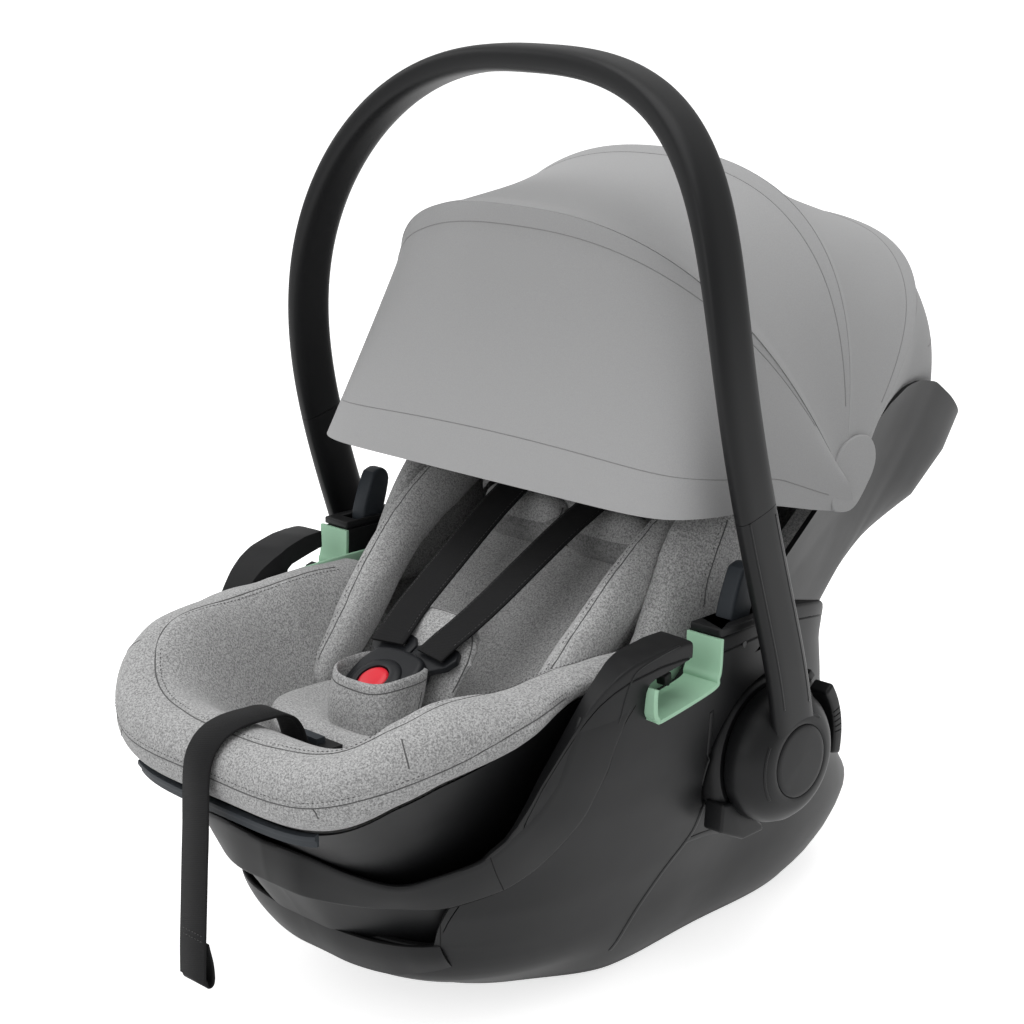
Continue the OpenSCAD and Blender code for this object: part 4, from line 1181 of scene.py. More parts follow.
    def build(self) -> None:
        """Makes the shell, cuts its slots and seats, and dresses it."""
        shell = self.body()
        tools = []
        for side in SIDE_NAMES:
            tools += [slab("slot", SLOT_OUTLINE, 150, 260, side),
                      slab("lever_slot", ((-57, 78), (-14, 78), (-14, 130), (-57, 130)), 171, 189, side),
                      turned("seat", ((0.01, 166), (57, 166), (57, 260), (0.01, 260)), side),
                      turned("bore", ((0.01, 120), (8, 120), (8, 200), (0.01, 200)), side)]
        for y in (-70, 70):
            tools.append(slab("pocket", ((y - 20, -175), (y + 20, -175), (y + 20, -135), (y - 20, -135)), -45, 45))
        shell = sharpen(cut(shell, tools), 28)
        self.dress(shell, Slot.SHELL, "base_shell")
        band = self._front_band()
        self._tray_lip()
        self._lines([Skin(shell), Skin(band)])
        self._underside()

    def _front_band(self) -> Object:
        """The band round the front and up the arms: an outward face, and in front a wall slanting into the tray."""
        track = spline(self.band, 120)
        high, low = track[:, :3], track[:, 3:]
        up = unit(high - low)
        out = unit(np.cross(heading((high + low) / 2), up))
        level = unit(out * [1, 1, 0])
        rows = [high - out * 4.5 - up * 2, high - out * 2.4 - up * 0.1, high - out * 1.2 + up * 0.2, high - up * 0.4]
        rows += [mix(high, low, v) + out * (0.5 + 0.8 * math.sin(math.pi * v)) for v in np.linspace(0.06, 0.95, 12)]
        rows += [low + out * 0.5 + up * 0.5, low - out * 0.1 - up * 0.4, low - out * 1.4 - up * 0.7]
        wall = blend_step((140 - low[:, :1]) / 40)
        heel = low - out * 3 + wall * (np.array([0, 0, -2.0]) - level * 4)
        foot = low - out * 6 + wall * (stack(0, 0, -107 - low[:, 2]) - level * 30)
        rows += [mix(heel, foot, v) for v in np.linspace(0, 1, 6)]
        rows += [foot - level * 3, mix(foot, high, 0.5) - level * (5 + 14 * wall)]
        band = sharpen(loft("front_band", across_middle(np.stack(rows, axis=1))), 40)
        return self.dress(band, Slot.SHELL)

    def _tray_lip(self) -> None:
        """The tray's front lip: a wall standing a little proud of the shell, with a rounded top edge."""
        track = spline(self.tray, 60)
        top, foot = track[:, :3], track[:, 3:]
        out = unit((top - [0, self.middle_y - 60.0, 0]) * [1, 1, 0])
        rows = [top - out * back - UP * down for back, down in ((4.4, 12), (3.8, 0.8), (2.6, 0), (1.2, 0), (0.3, 0.6))]
        rows += [mix(top, foot, v) + out * 2.2 * math.sin(math.pi * v) for v in np.linspace(0.06, 1, 12)]
        rows += [foot - out * 8, top - out * 9 - UP * 16]
        lip = sharpen(loft("tray_lip", across_middle(np.stack(rows, axis=1))), 40)
        self.dress(lip, Slot.SHELL)

    def _lines(self, skins: Sequence[Skin]) -> None:
        """Panel gaps as dark lines and soft creases as low ridges, on both sides."""
        gaps, ridges = [], []
        for side in SIDE_NAMES:
            for route, skin in zip(self.gap_routes, (skins[0], skins[0], skins[1])):
                gaps.append(surface_line("gap", skin, sided(route, side), 0.8, 0.2, 160))
            for route, width, height in self.ridge_routes:
                ridges.append(surface_line("ridge", skins[0], sided(route, side), width, height, 160))
        self.dress(join("panel_gaps", gaps), Slot.SHELL, finish=DARK_GAP_AND_SHADE)
        self.dress(join("panel_ridges", ridges), Slot.SHELL)

    def _underside(self) -> None:
        """Eight rivets on the base plate, beside the lock bars."""
        head = ((4.5, -164.1), (4.5, -163.5), (3.6, -163.0), (0.01, -162.8))
        rivets = [loft("rivet", np.stack([stack(*circle((x, y), r, turn(24)).T, z) for r, z in head]))
                  for x in (-62, 62) for y in (-84, -20, 40, 110)]
        self.dress(sharpen(join("plate_rivets", rivets), 40), Slot.STEEL)


# ---- bucket ----

BUCKET_RIM = ((-330, 3), (-322, 8), (-312, 15), (-295, 27), (-268, 38), (-220, 50), (-187, 63), (-160, 70), (-120, 70),
              (-60, 72), (0, 80), (30, 100), (46, 130), (66, 150), (100, 164), (125, 175), (160, 187), (190, 203),
              (220, 213), (240, 214), (268, 208), (300, 190), (340, 163))
WALL_DEPTH = (0, 0.1, 0.22, 0.36, 0.52, 0.68, 0.83, 0.94, 0.99, 1)
WALL_SIDE = (1, 0.955, 0.90, 0.845, 0.78, 0.71, 0.62, 0.5, 0.3, 0.03)
WALL_FRONT = (1, 0.955, 0.90, 0.84, 0.765, 0.69, 0.61, 0.5, 0.33, 0.03)
WALL_REAR = (1, 0.97, 0.89, 0.66, 0.38, 0.26, 0.20, 0.15, 0.1, 0.01)
LINER_REAR = (0, -0.05, -0.1, -0.08, 0, 0.18, 0.34, 0.5, 0.66, 1)


@dataclass
class Bucket(Assembly):
    """Moulded bucket: a bowl whose rim follows the side view, with its lining."""

    half_width: float = 155.0
    front: float = 327.0
    rear: float = 340.0
    floor_z: float = -105.0
    wall: float = 4.0
    keel_y: float = -60.0
    taper_from: float = 40.0
    taper_share: float = 0.24
    liner_thick: float = 12.0
    liner_floor: float = -25.0
    lip_end: float = -74.0

    def rim_x(self, y: Array) -> Array:
        """Half width of the rim, tapering towards the head end."""
        run = np.maximum(0, y - self.taper_from) / (self.rear - self.taper_from)
        return self.half_width * (1 - self.taper_share * run**1.2)

    def rim(self, u: Array) -> Array:
        """The rim: a superellipse, squarer at the head end, at the height of the rim table."""
        s, c = dsin(u), dcos(u)
        n = np.where(s < 0, 4.6, 12.0)
        y = np.where(s < 0, self.front, self.rear) * power(s, 2 / n)
        return stack(self.rim_x(y) * power(c, 2 / n), y, soft_lookup(y, BUCKET_RIM, 6.0))

    def bowl(self, u: Array, k: Array, inwards: float) -> Array:
        """A point on the bowl: the rim drawn in towards the keel by a share for each depth.

        Args:
            u: Angle round the rim in degrees.
            k: Step down the wall, 0 at the rim and 9 at the floor.
            inwards: Distance in from the outside.

        Returns:
            The points.
        """
        r = self.rim(u)
        s = dsin(u)
        steps = np.arange(10)
        side, fore, aft = (np.interp(k, steps, w) for w in (WALL_SIDE, WALL_FRONT, WALL_REAR))
        keep = np.where(s < 0, mix(side, fore, s**2), mix(side, aft, np.maximum(s, 0) ** 1.3))
        slim = 1 - inwards / np.hypot(r[..., 0], r[..., 1] - self.keel_y)
        z = r[..., 2] - (r[..., 2] - self.floor_z - inwards) * np.interp(k, steps, WALL_DEPTH)
        return stack(r[..., 0] * slim * keep, self.keel_y + (r[..., 1] - self.keel_y) * slim * keep, z)

    def liner(self, u: Array, k: Array) -> Array:
        """A point on the lining's hollow: inside the bowl, down to the lined floor."""
        p = self.bowl(u, k, self.wall + self.liner_thick)
        top = self.rim(u)[..., 2]
        s = dsin(u)
        steps = np.arange(10)
        fore, aft = np.interp(k, steps, WALL_DEPTH), np.interp(k, steps, LINER_REAR)
        share = mix(fore, np.where(s < 0, fore, aft), s**2)
        return stack(p[..., 0], p[..., 1], top - (top - self.liner_floor) * share)

    def build(self) -> None:
        """Makes the bucket's outside, its lining and the carrying lip under the front rim."""
        u = np.linspace(-90, 90, 181)[None]
        k = np.linspace(0, 9, 55)[:, None]
        outer, inner = self.bowl(u, k, 0.0), self.bowl(u, k, self.wall)
        shell = loft("bucket_moulding", full_turn(np.concatenate([outer[::-1], inner])))
        self.dress(sharpen(shell, 40), Slot.SHELL, "seat_bucket")
        # The lining takes the darker lining cloth, which is partly painted shade inside the bowl.
        hollow = self.liner(u, k)
        lining = loft("bucket_lining", full_turn(np.concatenate([hollow[::-1], self.bowl(u, k, self.wall + 0.3)])))
        self.dress(sharpen(lining, 50), Slot.LINING, "seat_liner", fill=0.7)
        self._lip()

    def _lip(self) -> None:
        """The carrying lip: an L section carried round the front rim."""
        u = np.linspace(-90, self.lip_end, 60)
        rim = self.rim(u)
        out = unit(rim * [1, 1, 0] - [0, self.keel_y, 0])
        section = np.array([(5, -1.5), (4.7, 0.8), (3, 1.4), (0.3, 1.4), (0.3, -7), (2.4, -7), (2.8, -3), (4.7, -2.2)])
        rings = carried(rim, out, np.broadcast_to(UP, rim.shape), section)
        lip = loft("carrying_lip", across_middle(rings))
        self.dress(sharpen(lip, 35), Slot.TAB, "grip_trim")


# ---- belt towers and hooks ----


@dataclass
class BeltTower(Assembly):
    """One side's belt slot: the coloured hook liner, the tower cap, the sprung lever, the belt clip and a near-black
    well of painted shade below the lever.
    """

    side: int = 1
    hook_path: tuple = ((-68.3, 99.5), (-69.2, 80.3), (-71.2, 73.6), (-76.8, 67.2), (-125, 59.3), (-130.4, 60.8),
                        (-132.8, 65), (-133.2, 76), (-132.4, 81.5))
    guide: Table = (
        (-128, 52), (-40, 52), (-38, 55), (-38, 81), (-42, 84), (-60, 85), (-95, 85), (-124, 84), (-130, 80),
        (-130, 56),
    )

    def name(self, stem: str) -> str:
        """The side's name for a piece."""
        return stem + SIDE_NAMES[self.side]

    def build(self) -> None:
        """Makes the four pieces."""
        path = spline(self.hook_path, 90)
        ridge = heading(path)
        normal = np.stack([-ridge[:, 1], ridge[:, 0]], 1)
        section = np.array([(168.0, 1.15), (168.0, -1.15), (194.5, -1.15), (197.3, -1.5), (197.9, -0.4), (197.6, 0.8),
                            (196.4, 1.5), (194.5, 1.15), (180.0, 0.6)])
        flat = path[:, None] + normal[:, None] * section[None, :, 1:]
        rings = stack(self.side * section[:, 0], flat[..., 0], flat[..., 1])
        guide = bevel(slab("guide", self.guide, 157.6, 160.2, self.side), 0.8)
        hook = join(self.name("hook_liner"), [sharpen(loft("channel", rings), 40), sharpen(guide, 40)])
        self.dress(hook, Slot.HOOK, self.name("belt_hook"))
        cap = slab(self.name("tower_plate"), ((-68, 100.2), (-12, 100.2), (-12, 105.8), (-68, 105.8)), 169, 195,
                   self.side)
        slot = slab("slot", ((-56, 90), (-15, 90), (-15, 130), (-56, 130)), 172, 188, self.side)
        cap = sharpen(bevel(cut(cap, [slot]), 1.4), 30)
        self.dress(cap, Slot.SHELL, self.name("tower_cap"))
        outline = ((-44, 84), (-35, 83), (-27, 104), (-20, 128), (-21, 136), (-26, 140), (-33, 139), (-38, 134),
                   (-48, 106))
        lever = slab(self.name("tab"), spline(outline + outline[:1], 40)[:-1], 173, 187, self.side)
        lever = sharpen(bevel(lever, 2.6, 4), 30)
        clip = slab(self.name("belt_clip"), ((-103, 78), (-96, 80), (-95.4, 74), (-98, 70.5), (-102, 71.5)), 170, 178,
                    self.side)
        self.dress(sharpen(bevel(clip, 0.9), 30), Slot.SHELL)
        # A near-black slab at the foot of the lever's slot: painted shade in the recess.
        well = slab(self.name("lever_well"), ((-55.5, 92), (-15.5, 92), (-15.5, 101), (-55.5, 101)), 172.2, 187.8,
                    self.side)
        self.dress(well, Slot.SHELL, finish=DARK_GAP_AND_SHADE)
        self.dress(lever, Slot.TAB, self.name("lever"), body=self.name("lever"))


# ---- handle and hubs ----


@dataclass
class Handle(Assembly):
    """Carrying handle: an arch of rounded band section, its legs and its round hubs."""

    half_width: float = 212.0
    rise: float = 458.0
    band: float = 36.0
    leg_thick: float = 12.0
    grip_thick: float = 19.0
    root_inset: float = 6.0
    side_power: float = 2.6
    top_power: float = 4.5
    joint: float = 0.33
    leg_from: float = 0.032
    cap_radius: float = 25.6
    foot_outline: Table = ((-49, -25), (-36, -27), (-28, -31), (-6, -52), (-4, -57), (-27, -57), (-51, -45))

    def centre(self, t: Array) -> Array:
        """The centreline: width and height by powers of a turn, leaning towards the foot end."""
        angle = 90 * np.minimum(t, 2 - t) ** (self.top_power / 2)
        s = dsin(angle) ** (2 / self.top_power)
        inset = self.root_inset * np.maximum(0, 1 - s / 0.22) ** 2
        x = (self.half_width - inset) * dcos(angle) ** (2 / self.side_power) * np.where(t > 1, -1, 1)
        return stack(x, -(36 * s + 49.5 * dsin(180 * s**1.3)), self.rise * s)

    def rings(self, t: Array) -> Array:
        """Band sections along the centreline, thicker at the grip."""
        p = self.centre(t)
        along = unit(self.centre(t + 0.004) - self.centre(t - 0.004))
        out = unit(np.cross(along, [0, -1.0, 0]))
        wide = np.cross(out, along)
        grip = blend_step((p[:, 2] / self.rise - 0.55) / 0.45)
        thick = mix(self.leg_thick, self.grip_thick, grip) / 2
        band = (self.band + 5 * np.maximum(0, 1 - p[:, 2] / 90) ** 2 - grip) / 2
        a = turn(40)
        return (p[:, None] + out[:, None] * (thick[:, None] * power(dcos(a), 0.62))[..., None]
                + wide[:, None] * (band[:, None] * power(dsin(a), 0.62))[..., None])

    def build(self) -> None:
        """Makes the grip, both legs with their hubs, the caps, the hub bases and the buttons."""
        t = np.linspace(self.joint, 2 - self.joint, 181)
        self.dress(sharpen(loft("grip_arch", self.rings(t)), 60), Slot.HANDLE, "handle_grip", body="handle")
        for side, tag in SIDE_NAMES.items():
            self._leg(side, tag)
            self._hub(side, tag)

    def _leg(self, side: int, tag: str) -> None:
        """A leg: the lower run of the band, cut clear of the hub's cap."""
        rings = self.rings(np.linspace(self.leg_from, self.joint - 0.0006, 60))
        leg = loft("leg" + tag, sided(rings, side))
        tool = turned("clear", ((0.01, 180), (self.cap_radius + 6, 180), (self.cap_radius + 6, 230), (0.01, 230)),
                      side)
        leg = sharpen(cut(leg, [tool]), 40)
        disc = turned("disc", ((8.05, 184.3), (47, 184.3), (47.7, 184.7), (48, 185.5), (48, 192), (47.6, 195),
                               (46, 199), (44.5, 202.5), (42, 205.5), (39.6, 208), (37, 210), (34.6, 211.4),
                               (32, 212.2), (29, 212.6), (26.6, 212.6), (25.9, 212.2), (25.8, 207), (8.05, 207)), side,
                      128)
        skin, arcs = Skin(disc), []
        for radius, start, end in ((33.5, 52, 122), (38, 150, 214)):
            a = np.linspace(start, end, 12)
            arcs.append(surface_line("brow", skin, stack(side * 213.0, *circle((0, 0), radius, a).T), 2.2, 0.7, 60))
        for dy in (-13.5, 13.5):
            t = np.linspace(self.leg_from + 0.045, self.joint - 0.004, 20)
            line = self.centre(t) * [side, 1, 1] + np.array([side * 7.0, dy, 0])
            arcs.append(surface_line("edge", Skin(leg), line, 1.6, 0.35, 120))
        piece = join("leg_and_hub" + tag, [leg, sharpen(disc, 40)] + arcs)
        self.dress(piece, Slot.HANDLE, "handle_leg" + tag, body="handle")

    def _hub(self, side: int, tag: str) -> None:
        """The round cap, the fixed hub base with its foot and button housing, and the release button."""
        r = self.cap_radius
        cap = turned("round_cap" + tag, ((0.01, 207), (r, 207), (r, 212.2), (r - 0.5, 212.8), (r - 1.6, 213.2),
                                         (r - 4, 213.4), (0.01, 213.6)), side, 96)
        self.dress(sharpen(cap, 40), Slot.HANDLE, "hub_cap" + tag, body="handle")
        disc = turned("disc", ((8.1, 166.2), (53.4, 166.2), (53.8, 170), (53.6, 177), (52.8, 180.6), (51.6, 182.6),
                               (50.4, 183.4), (49.4, 183.2), (49.2, 182.2), (8.1, 182.2)), side, 128)
        ear = self.sector(40, 66, -22, 45)
        well = slab("well", self.sector(54.2, 72, -14.8, 38.8), 178.0, 205, side)
        ear_plate = bevel(cut(slab("ear", ear, 174, 184, side), [well]), 1.0, 3, 40)
        foot = bevel(slab("foot", self.foot_outline, 170, 186.5, side), 2.0, 3, 40)
        base = join("hub_seat" + tag, [sharpen(disc, 35), sharpen(ear_plate, 30), sharpen(foot, 30)])
        self.dress(base, Slot.SHELL, "hub_base" + tag)
        button = bevel(slab("release_tab" + tag, self.sector(54.8, 64.5, -14, 38), 184.2, 200, side), 2.2, 4, 40)
        grooves = [slab("groove", self.sector(54, 66, a, a + 0.9), 199.3, 203, side) for a in (2, 6, 10, 14, 18)]
        button = sharpen(cut(button, grooves), 30)
        self.dress(button, Slot.HANDLE, "release_button" + tag, body="release_button" + tag)

    def sector(self, inner: float, outer: float, start: float, end: float) -> Array:
        """A ring sector's outline in (y, z)."""
        a = np.linspace(start, end, 24)
        return np.concatenate([circle((0, 0), outer, a), circle((0, 0), inner, a)[::-1]])


# ---- canopy ----

PIVOT = (73.0, 178.0)


@dataclass(frozen=True)
class Arch:
    """One bow's line: the lean of its plane, its height, its squareness and its belly."""

    lean: float
    height: float
    square: float
    belly: float

    def shape(self) -> Array:
        """Lean, height, squareness and belly as an array."""
        return np.array([self.lean, self.height, self.square, self.belly])


@dataclass
class Canopy(Assembly):
    """Folding canopy: tail, two panels and visor, sewn together over the bows."""

    bucket: Bucket
    half_width: float = 186.0
    cloth: float = 3.0
    sag: float = 16.0
    middle: Arch = Arch(-5.3, 209.0, 2.44, 0.12)
    front: Arch = Arch(36.3, 224.0, 2.6, 0.04)
    rear: Arch = Arch(-46.3, 221.0, 2.85, 0.03)
    hem_square: float = 9.0
    tail_square: float = 7.0
    seam_gap: float = 0.25
    hem_levels: Table = ((-100, 178), (-77, 178), (-1, 174), (40, 163), (66, 157), (92, 156))
    tail_levels: Table = (
        (86, 156), (101, 165), (125, 177), (155, 188), (190, 200), (222, 203), (245, 199), (268, 192), (316, 180),
    )
    channel: float = 15.0
    span_length: float = 150.0
    flap_fill: float = 0.83
    flap_outline: Table = (
        (58, 172), (60, 160), (67, 156.4), (78, 154.8), (86, 157), (93, 163), (99, 170), (105, 178), (108, 187),
        (106, 197), (98, 205), (84, 207), (70, 202), (60, 189),
    )
    panels: tuple = (("rear", ("seat", "canopy_mid"), ("rear", "middle")),
                     ("front", ("canopy_mid", "canopy_front"), ("middle", "front")))
    angles: Array = field(default_factory=lambda: np.r_[2, np.linspace(4, 176, 140), 178])

    def crest(self, arch: Arch) -> Array:
        """The top of an arch."""
        return self.arch(arch.shape(), np.array(90.0), 0.0)

    def arch(self, shape: Array, a: Array, inset: Array | float) -> Array:
        """A point on an arch: height by a power of sine and width by a power of cosine, in a leaning plane.

        Args:
            shape: Lean, height, squareness and belly, in the last axis.
            a: Angle round the arch in degrees, 0 at the right-hand pivot.
            inset: Distance in from the outside.

        Returns:
            The points.
        """
        lean, height, square, belly = (shape[..., k] for k in range(4))
        c, s = dcos(a), dsin(a)
        r = (height - inset) * s ** (2 / square)
        x = (self.half_width - inset) * power(c, 2 / square) * (1 + belly * s * s * np.abs(c))
        return stack(x, PIVOT[0] - r * dsin(lean), PIVOT[1] + r * dcos(lean))

    def panel(self, a: Arch, b: Arch, inset: float, rows: int = 40, gap: float = 0.0) -> Array:
        """A panel between two arches, sagging between them by a half sine."""
        t = np.linspace(0, 1, rows)[:, None]
        to = b.shape() - [gap, 0, 0, 0]
        shape = a.shape() * (1 - t[..., None]) + to * t[..., None]
        tube = self.bulge(np.minimum(t, 1 - t) * self.span_length)
        folds = 0.7 * dsin(self.angles * 13 + 300 * t) * dsin(180 * t) * dsin(self.angles) ** 2
        drop = self.sag * dsin(180 * t) * dsin(self.angles) - tube - folds
        return self.arch(np.broadcast_to(shape, (rows, len(self.angles), 4)), self.angles[None], inset + drop)

    def bulge(self, far: Array) -> Array:
        """How far the channel over a bow stands up, by the distance from its crest: a bell with a soft foot."""
        return 3.0 * np.clip(1 - (far / self.channel) ** 2, 0, 1) ** 2 * dsin(self.angles)

    def visor_hem(self, inset: float) -> Array:
        """The visor's hem: a squarish round in plan, at the height of the hem table."""
        c, s = dcos(self.angles), dsin(self.angles)
        r = (np.abs(c) ** self.hem_square + s**self.hem_square) ** (-1 / self.hem_square)
        y = 92 - (190 - inset) * r * s
        return stack((185 - inset) * r * c, y, soft_lookup(y, self.hem_levels, 6.0))

    def visor(self, inset: float, rows: int = 50) -> Array:
        """The visor between the front bow and its hem, swelling forwards by a half sine."""
        t = np.linspace(0, 1, rows)[:, None]
        top = self.arch(self.front.shape()[None], self.angles, inset)
        wave = dsin(180 * t)
        pull = 15 * wave * dsin(self.angles) ** 4
        swell = stack(5 * wave * dcos(self.angles), pull, -0.4 * pull)
        tube = self.bulge(t * self.span_length)
        creases = 3.4 * np.exp(-t * 6) * t * 6 * dsin(self.angles * 17) * bell((self.angles - 126) / 28)
        swell = swell + stack(0, creases - tube * 0.5, tube - 0.24 * bell((t - 0.9) / 0.016))
        return top[None] * (1 - t[..., None]) + self.visor_hem(inset)[None] * t[..., None] + swell

    def tail_hem(self, inset: float) -> Array:
        """The tail's hem: along the rim of the bucket and round the head end."""
        c, s = dcos(self.angles), dsin(self.angles)
        r = (np.abs(c) ** self.tail_square + s**self.tail_square) ** (-1 / self.tail_square)
        y = 86 + (230 - inset) * r * s
        half = self.bucket.rim_x(y) + 5 + 25 * blend_step((150 - y) / 64) - 14 * blend_step((y - 140) / 90) - inset
        return stack(half * r * c, y, soft_lookup(y, self.tail_levels, 6.0))

    def tail(self, inset: float, rows: int = 50) -> Array:
        """The tail between the rear seam and its hem, swelling backwards by a half sine."""
        t = np.linspace(0, 1, rows)[:, None]
        top = self.arch(self.rear.shape()[None], self.angles, inset)
        swell = 18 * dsin(180 * t) * dsin(self.angles)
        flat = top[None] * (1 - t[..., None]) + self.tail_hem(inset)[None] * t[..., None]
        return flat + stack(0, swell, 0.3 * swell)

    def sheet(self, name: str, grids: Sequence[Array], body: str | tuple[str, str], node: str,
              ends: Sequence[Arch] = ()) -> None:
        """Makes one panel as a closed sheet of cloth.

        Args:
            name: Name of the piece.
            grids: Its outer and inner grid.
            body: The body it rides on, or a pair of bodies, which leaves it riding on none.
            node: CAD node that it replaces.
            ends: The arches at its two edges, whose crests are passed on as its span.
        """
        outer, inner = grids
        piece = sharpen(thick_sheet(name, outer, inner), 60)
        self.dress(piece, Slot.CANOPY, node, body=body, span=[self.crest(a) for a in ends])

    def build(self) -> None:
        """Makes the four panels of cloth, their sewing, the pivot flaps and the pivot bosses."""
        insets = (0.0, self.cloth)
        self.sheet("tail_cloth", [self.tail(i) for i in insets], "seat", "canopy_tail")
        for name, bodies, ends in self.panels:
            arches = [getattr(self, end) for end in ends]
            grids = [self.panel(*arches, i, gap=self.seam_gap) for i in insets]
            self.sheet(f"{name}_panel_cloth", grids, bodies, f"canopy_panel_{name}", arches)
        self.sheet("visor_cloth", [self.visor(i) for i in insets], "canopy_front", "canopy_visor")
        self._sewing()
        for side, tag in SIDE_NAMES.items():
            outline = spline(self.flap_outline + self.flap_outline[:1], 49)[:-1]
            flap = sharpen(bevel(slab("pivot_flap" + tag, outline, 184.4, 187.4, side), 1.1, 3, 40), 40)
            self.dress(flap, Slot.CANOPY)
            boss = slab("canopy_boss" + tag, circle(PIVOT, 13, turn(40)), 142, 184.6, side)
            self.dress(sharpen(boss, 40), Slot.SHELL, "canopy_bracket" + tag)

    def _sewing(self) -> None:
        """Seams beside the bows and stitching along the hems, sewn to the sheet that they lie on."""
        keep = slice(6, -6)
        jobs = (
            ("visor_cloth", "canopy_front", [self.visor(0)[3, keep], self.visor(0)[-10, keep]], []),
            ("tail_cloth", "seat", [self.tail(0)[4, keep]], [self.tail(0)[-5, keep]]),
        )
        for sheet, body, seams, hems in jobs:
            skin = Skin(bpy.data.objects[sheet])
            lines = [surface_line("seam", skin, seam[::3], 0.7, 0.25, 260) for seam in seams]
            rows = [stitches("hem", skin, hem[::3], 0, 3.6, 2.4, 0.26) for hem in hems]
            if hems:
                rows.append(surface_line("seam", skin, self.tail(0)[27, 30:-30:3], 0.8, 0.25, 260))
            self.dress(join(sheet + "_sewing", lines + rows), Slot.CANOPY, body=body, finish=CANOPY_THREAD)
        for name, bodies, ends in self.panels[::-1]:
            arches = [getattr(self, end) for end in ends]
            sheet = f"{name}_panel_cloth"
            grid = self.panel(*arches, 0)[3, keep]
            line = surface_line(sheet + "_seam", Skin(bpy.data.objects[sheet]), grid[::3], 0.7, 0.25, 260)
            self.dress(line, Slot.CANOPY, body=bodies, finish=CANOPY_THREAD, span=[self.crest(a) for a in arches])


# ---- padding ----

BACK_PLACE = (0.0, -10.0, 106.0)
BACK_SLOPE = 35.0


def sloped(points: Table, place: Sequence[float], slope: float) -> Array:
    """Points of a tilted frame, turned about X by its slope and moved to its place."""
    x, y, z = np.moveaxis(np.asarray(points, float), -1, 0)
    return stack(x + place[0], place[1] + y * dcos(slope) - z * dsin(slope),
                 place[2] + y * dsin(slope) + z * dcos(slope))


def on_back(points: Table) -> Array:
    """Points of the headrest's own frame, moved to the back's slope."""
    return sloped(points, BACK_PLACE, BACK_SLOPE)


def pillow(rows: Array, across: Array, up: Array, exponent: float = 0.75, sides: int = 36) -> Array:
    """Rings of an oval pillow.

    Args:
        rows: Middle point, half width and half thickness of each ring.
        across: Direction of the width at each ring.
        up: Direction of the thickness at each ring.
        exponent: Below 1 for a squarer section.
        sides: Points round each ring.

    Returns:
        The rings.
    """
    section = round_profile(1, 1, exponent, sides)
    across, up = (np.broadcast_to(way, (len(rows), 3)) for way in (across, up))
    return (rows[:, None, :3] + across[:, None] * (rows[:, 3, None] * section[None, :, 0])[..., None]
            + up[:, None] * (rows[:, 4, None] * section[None, :, 1])[..., None])


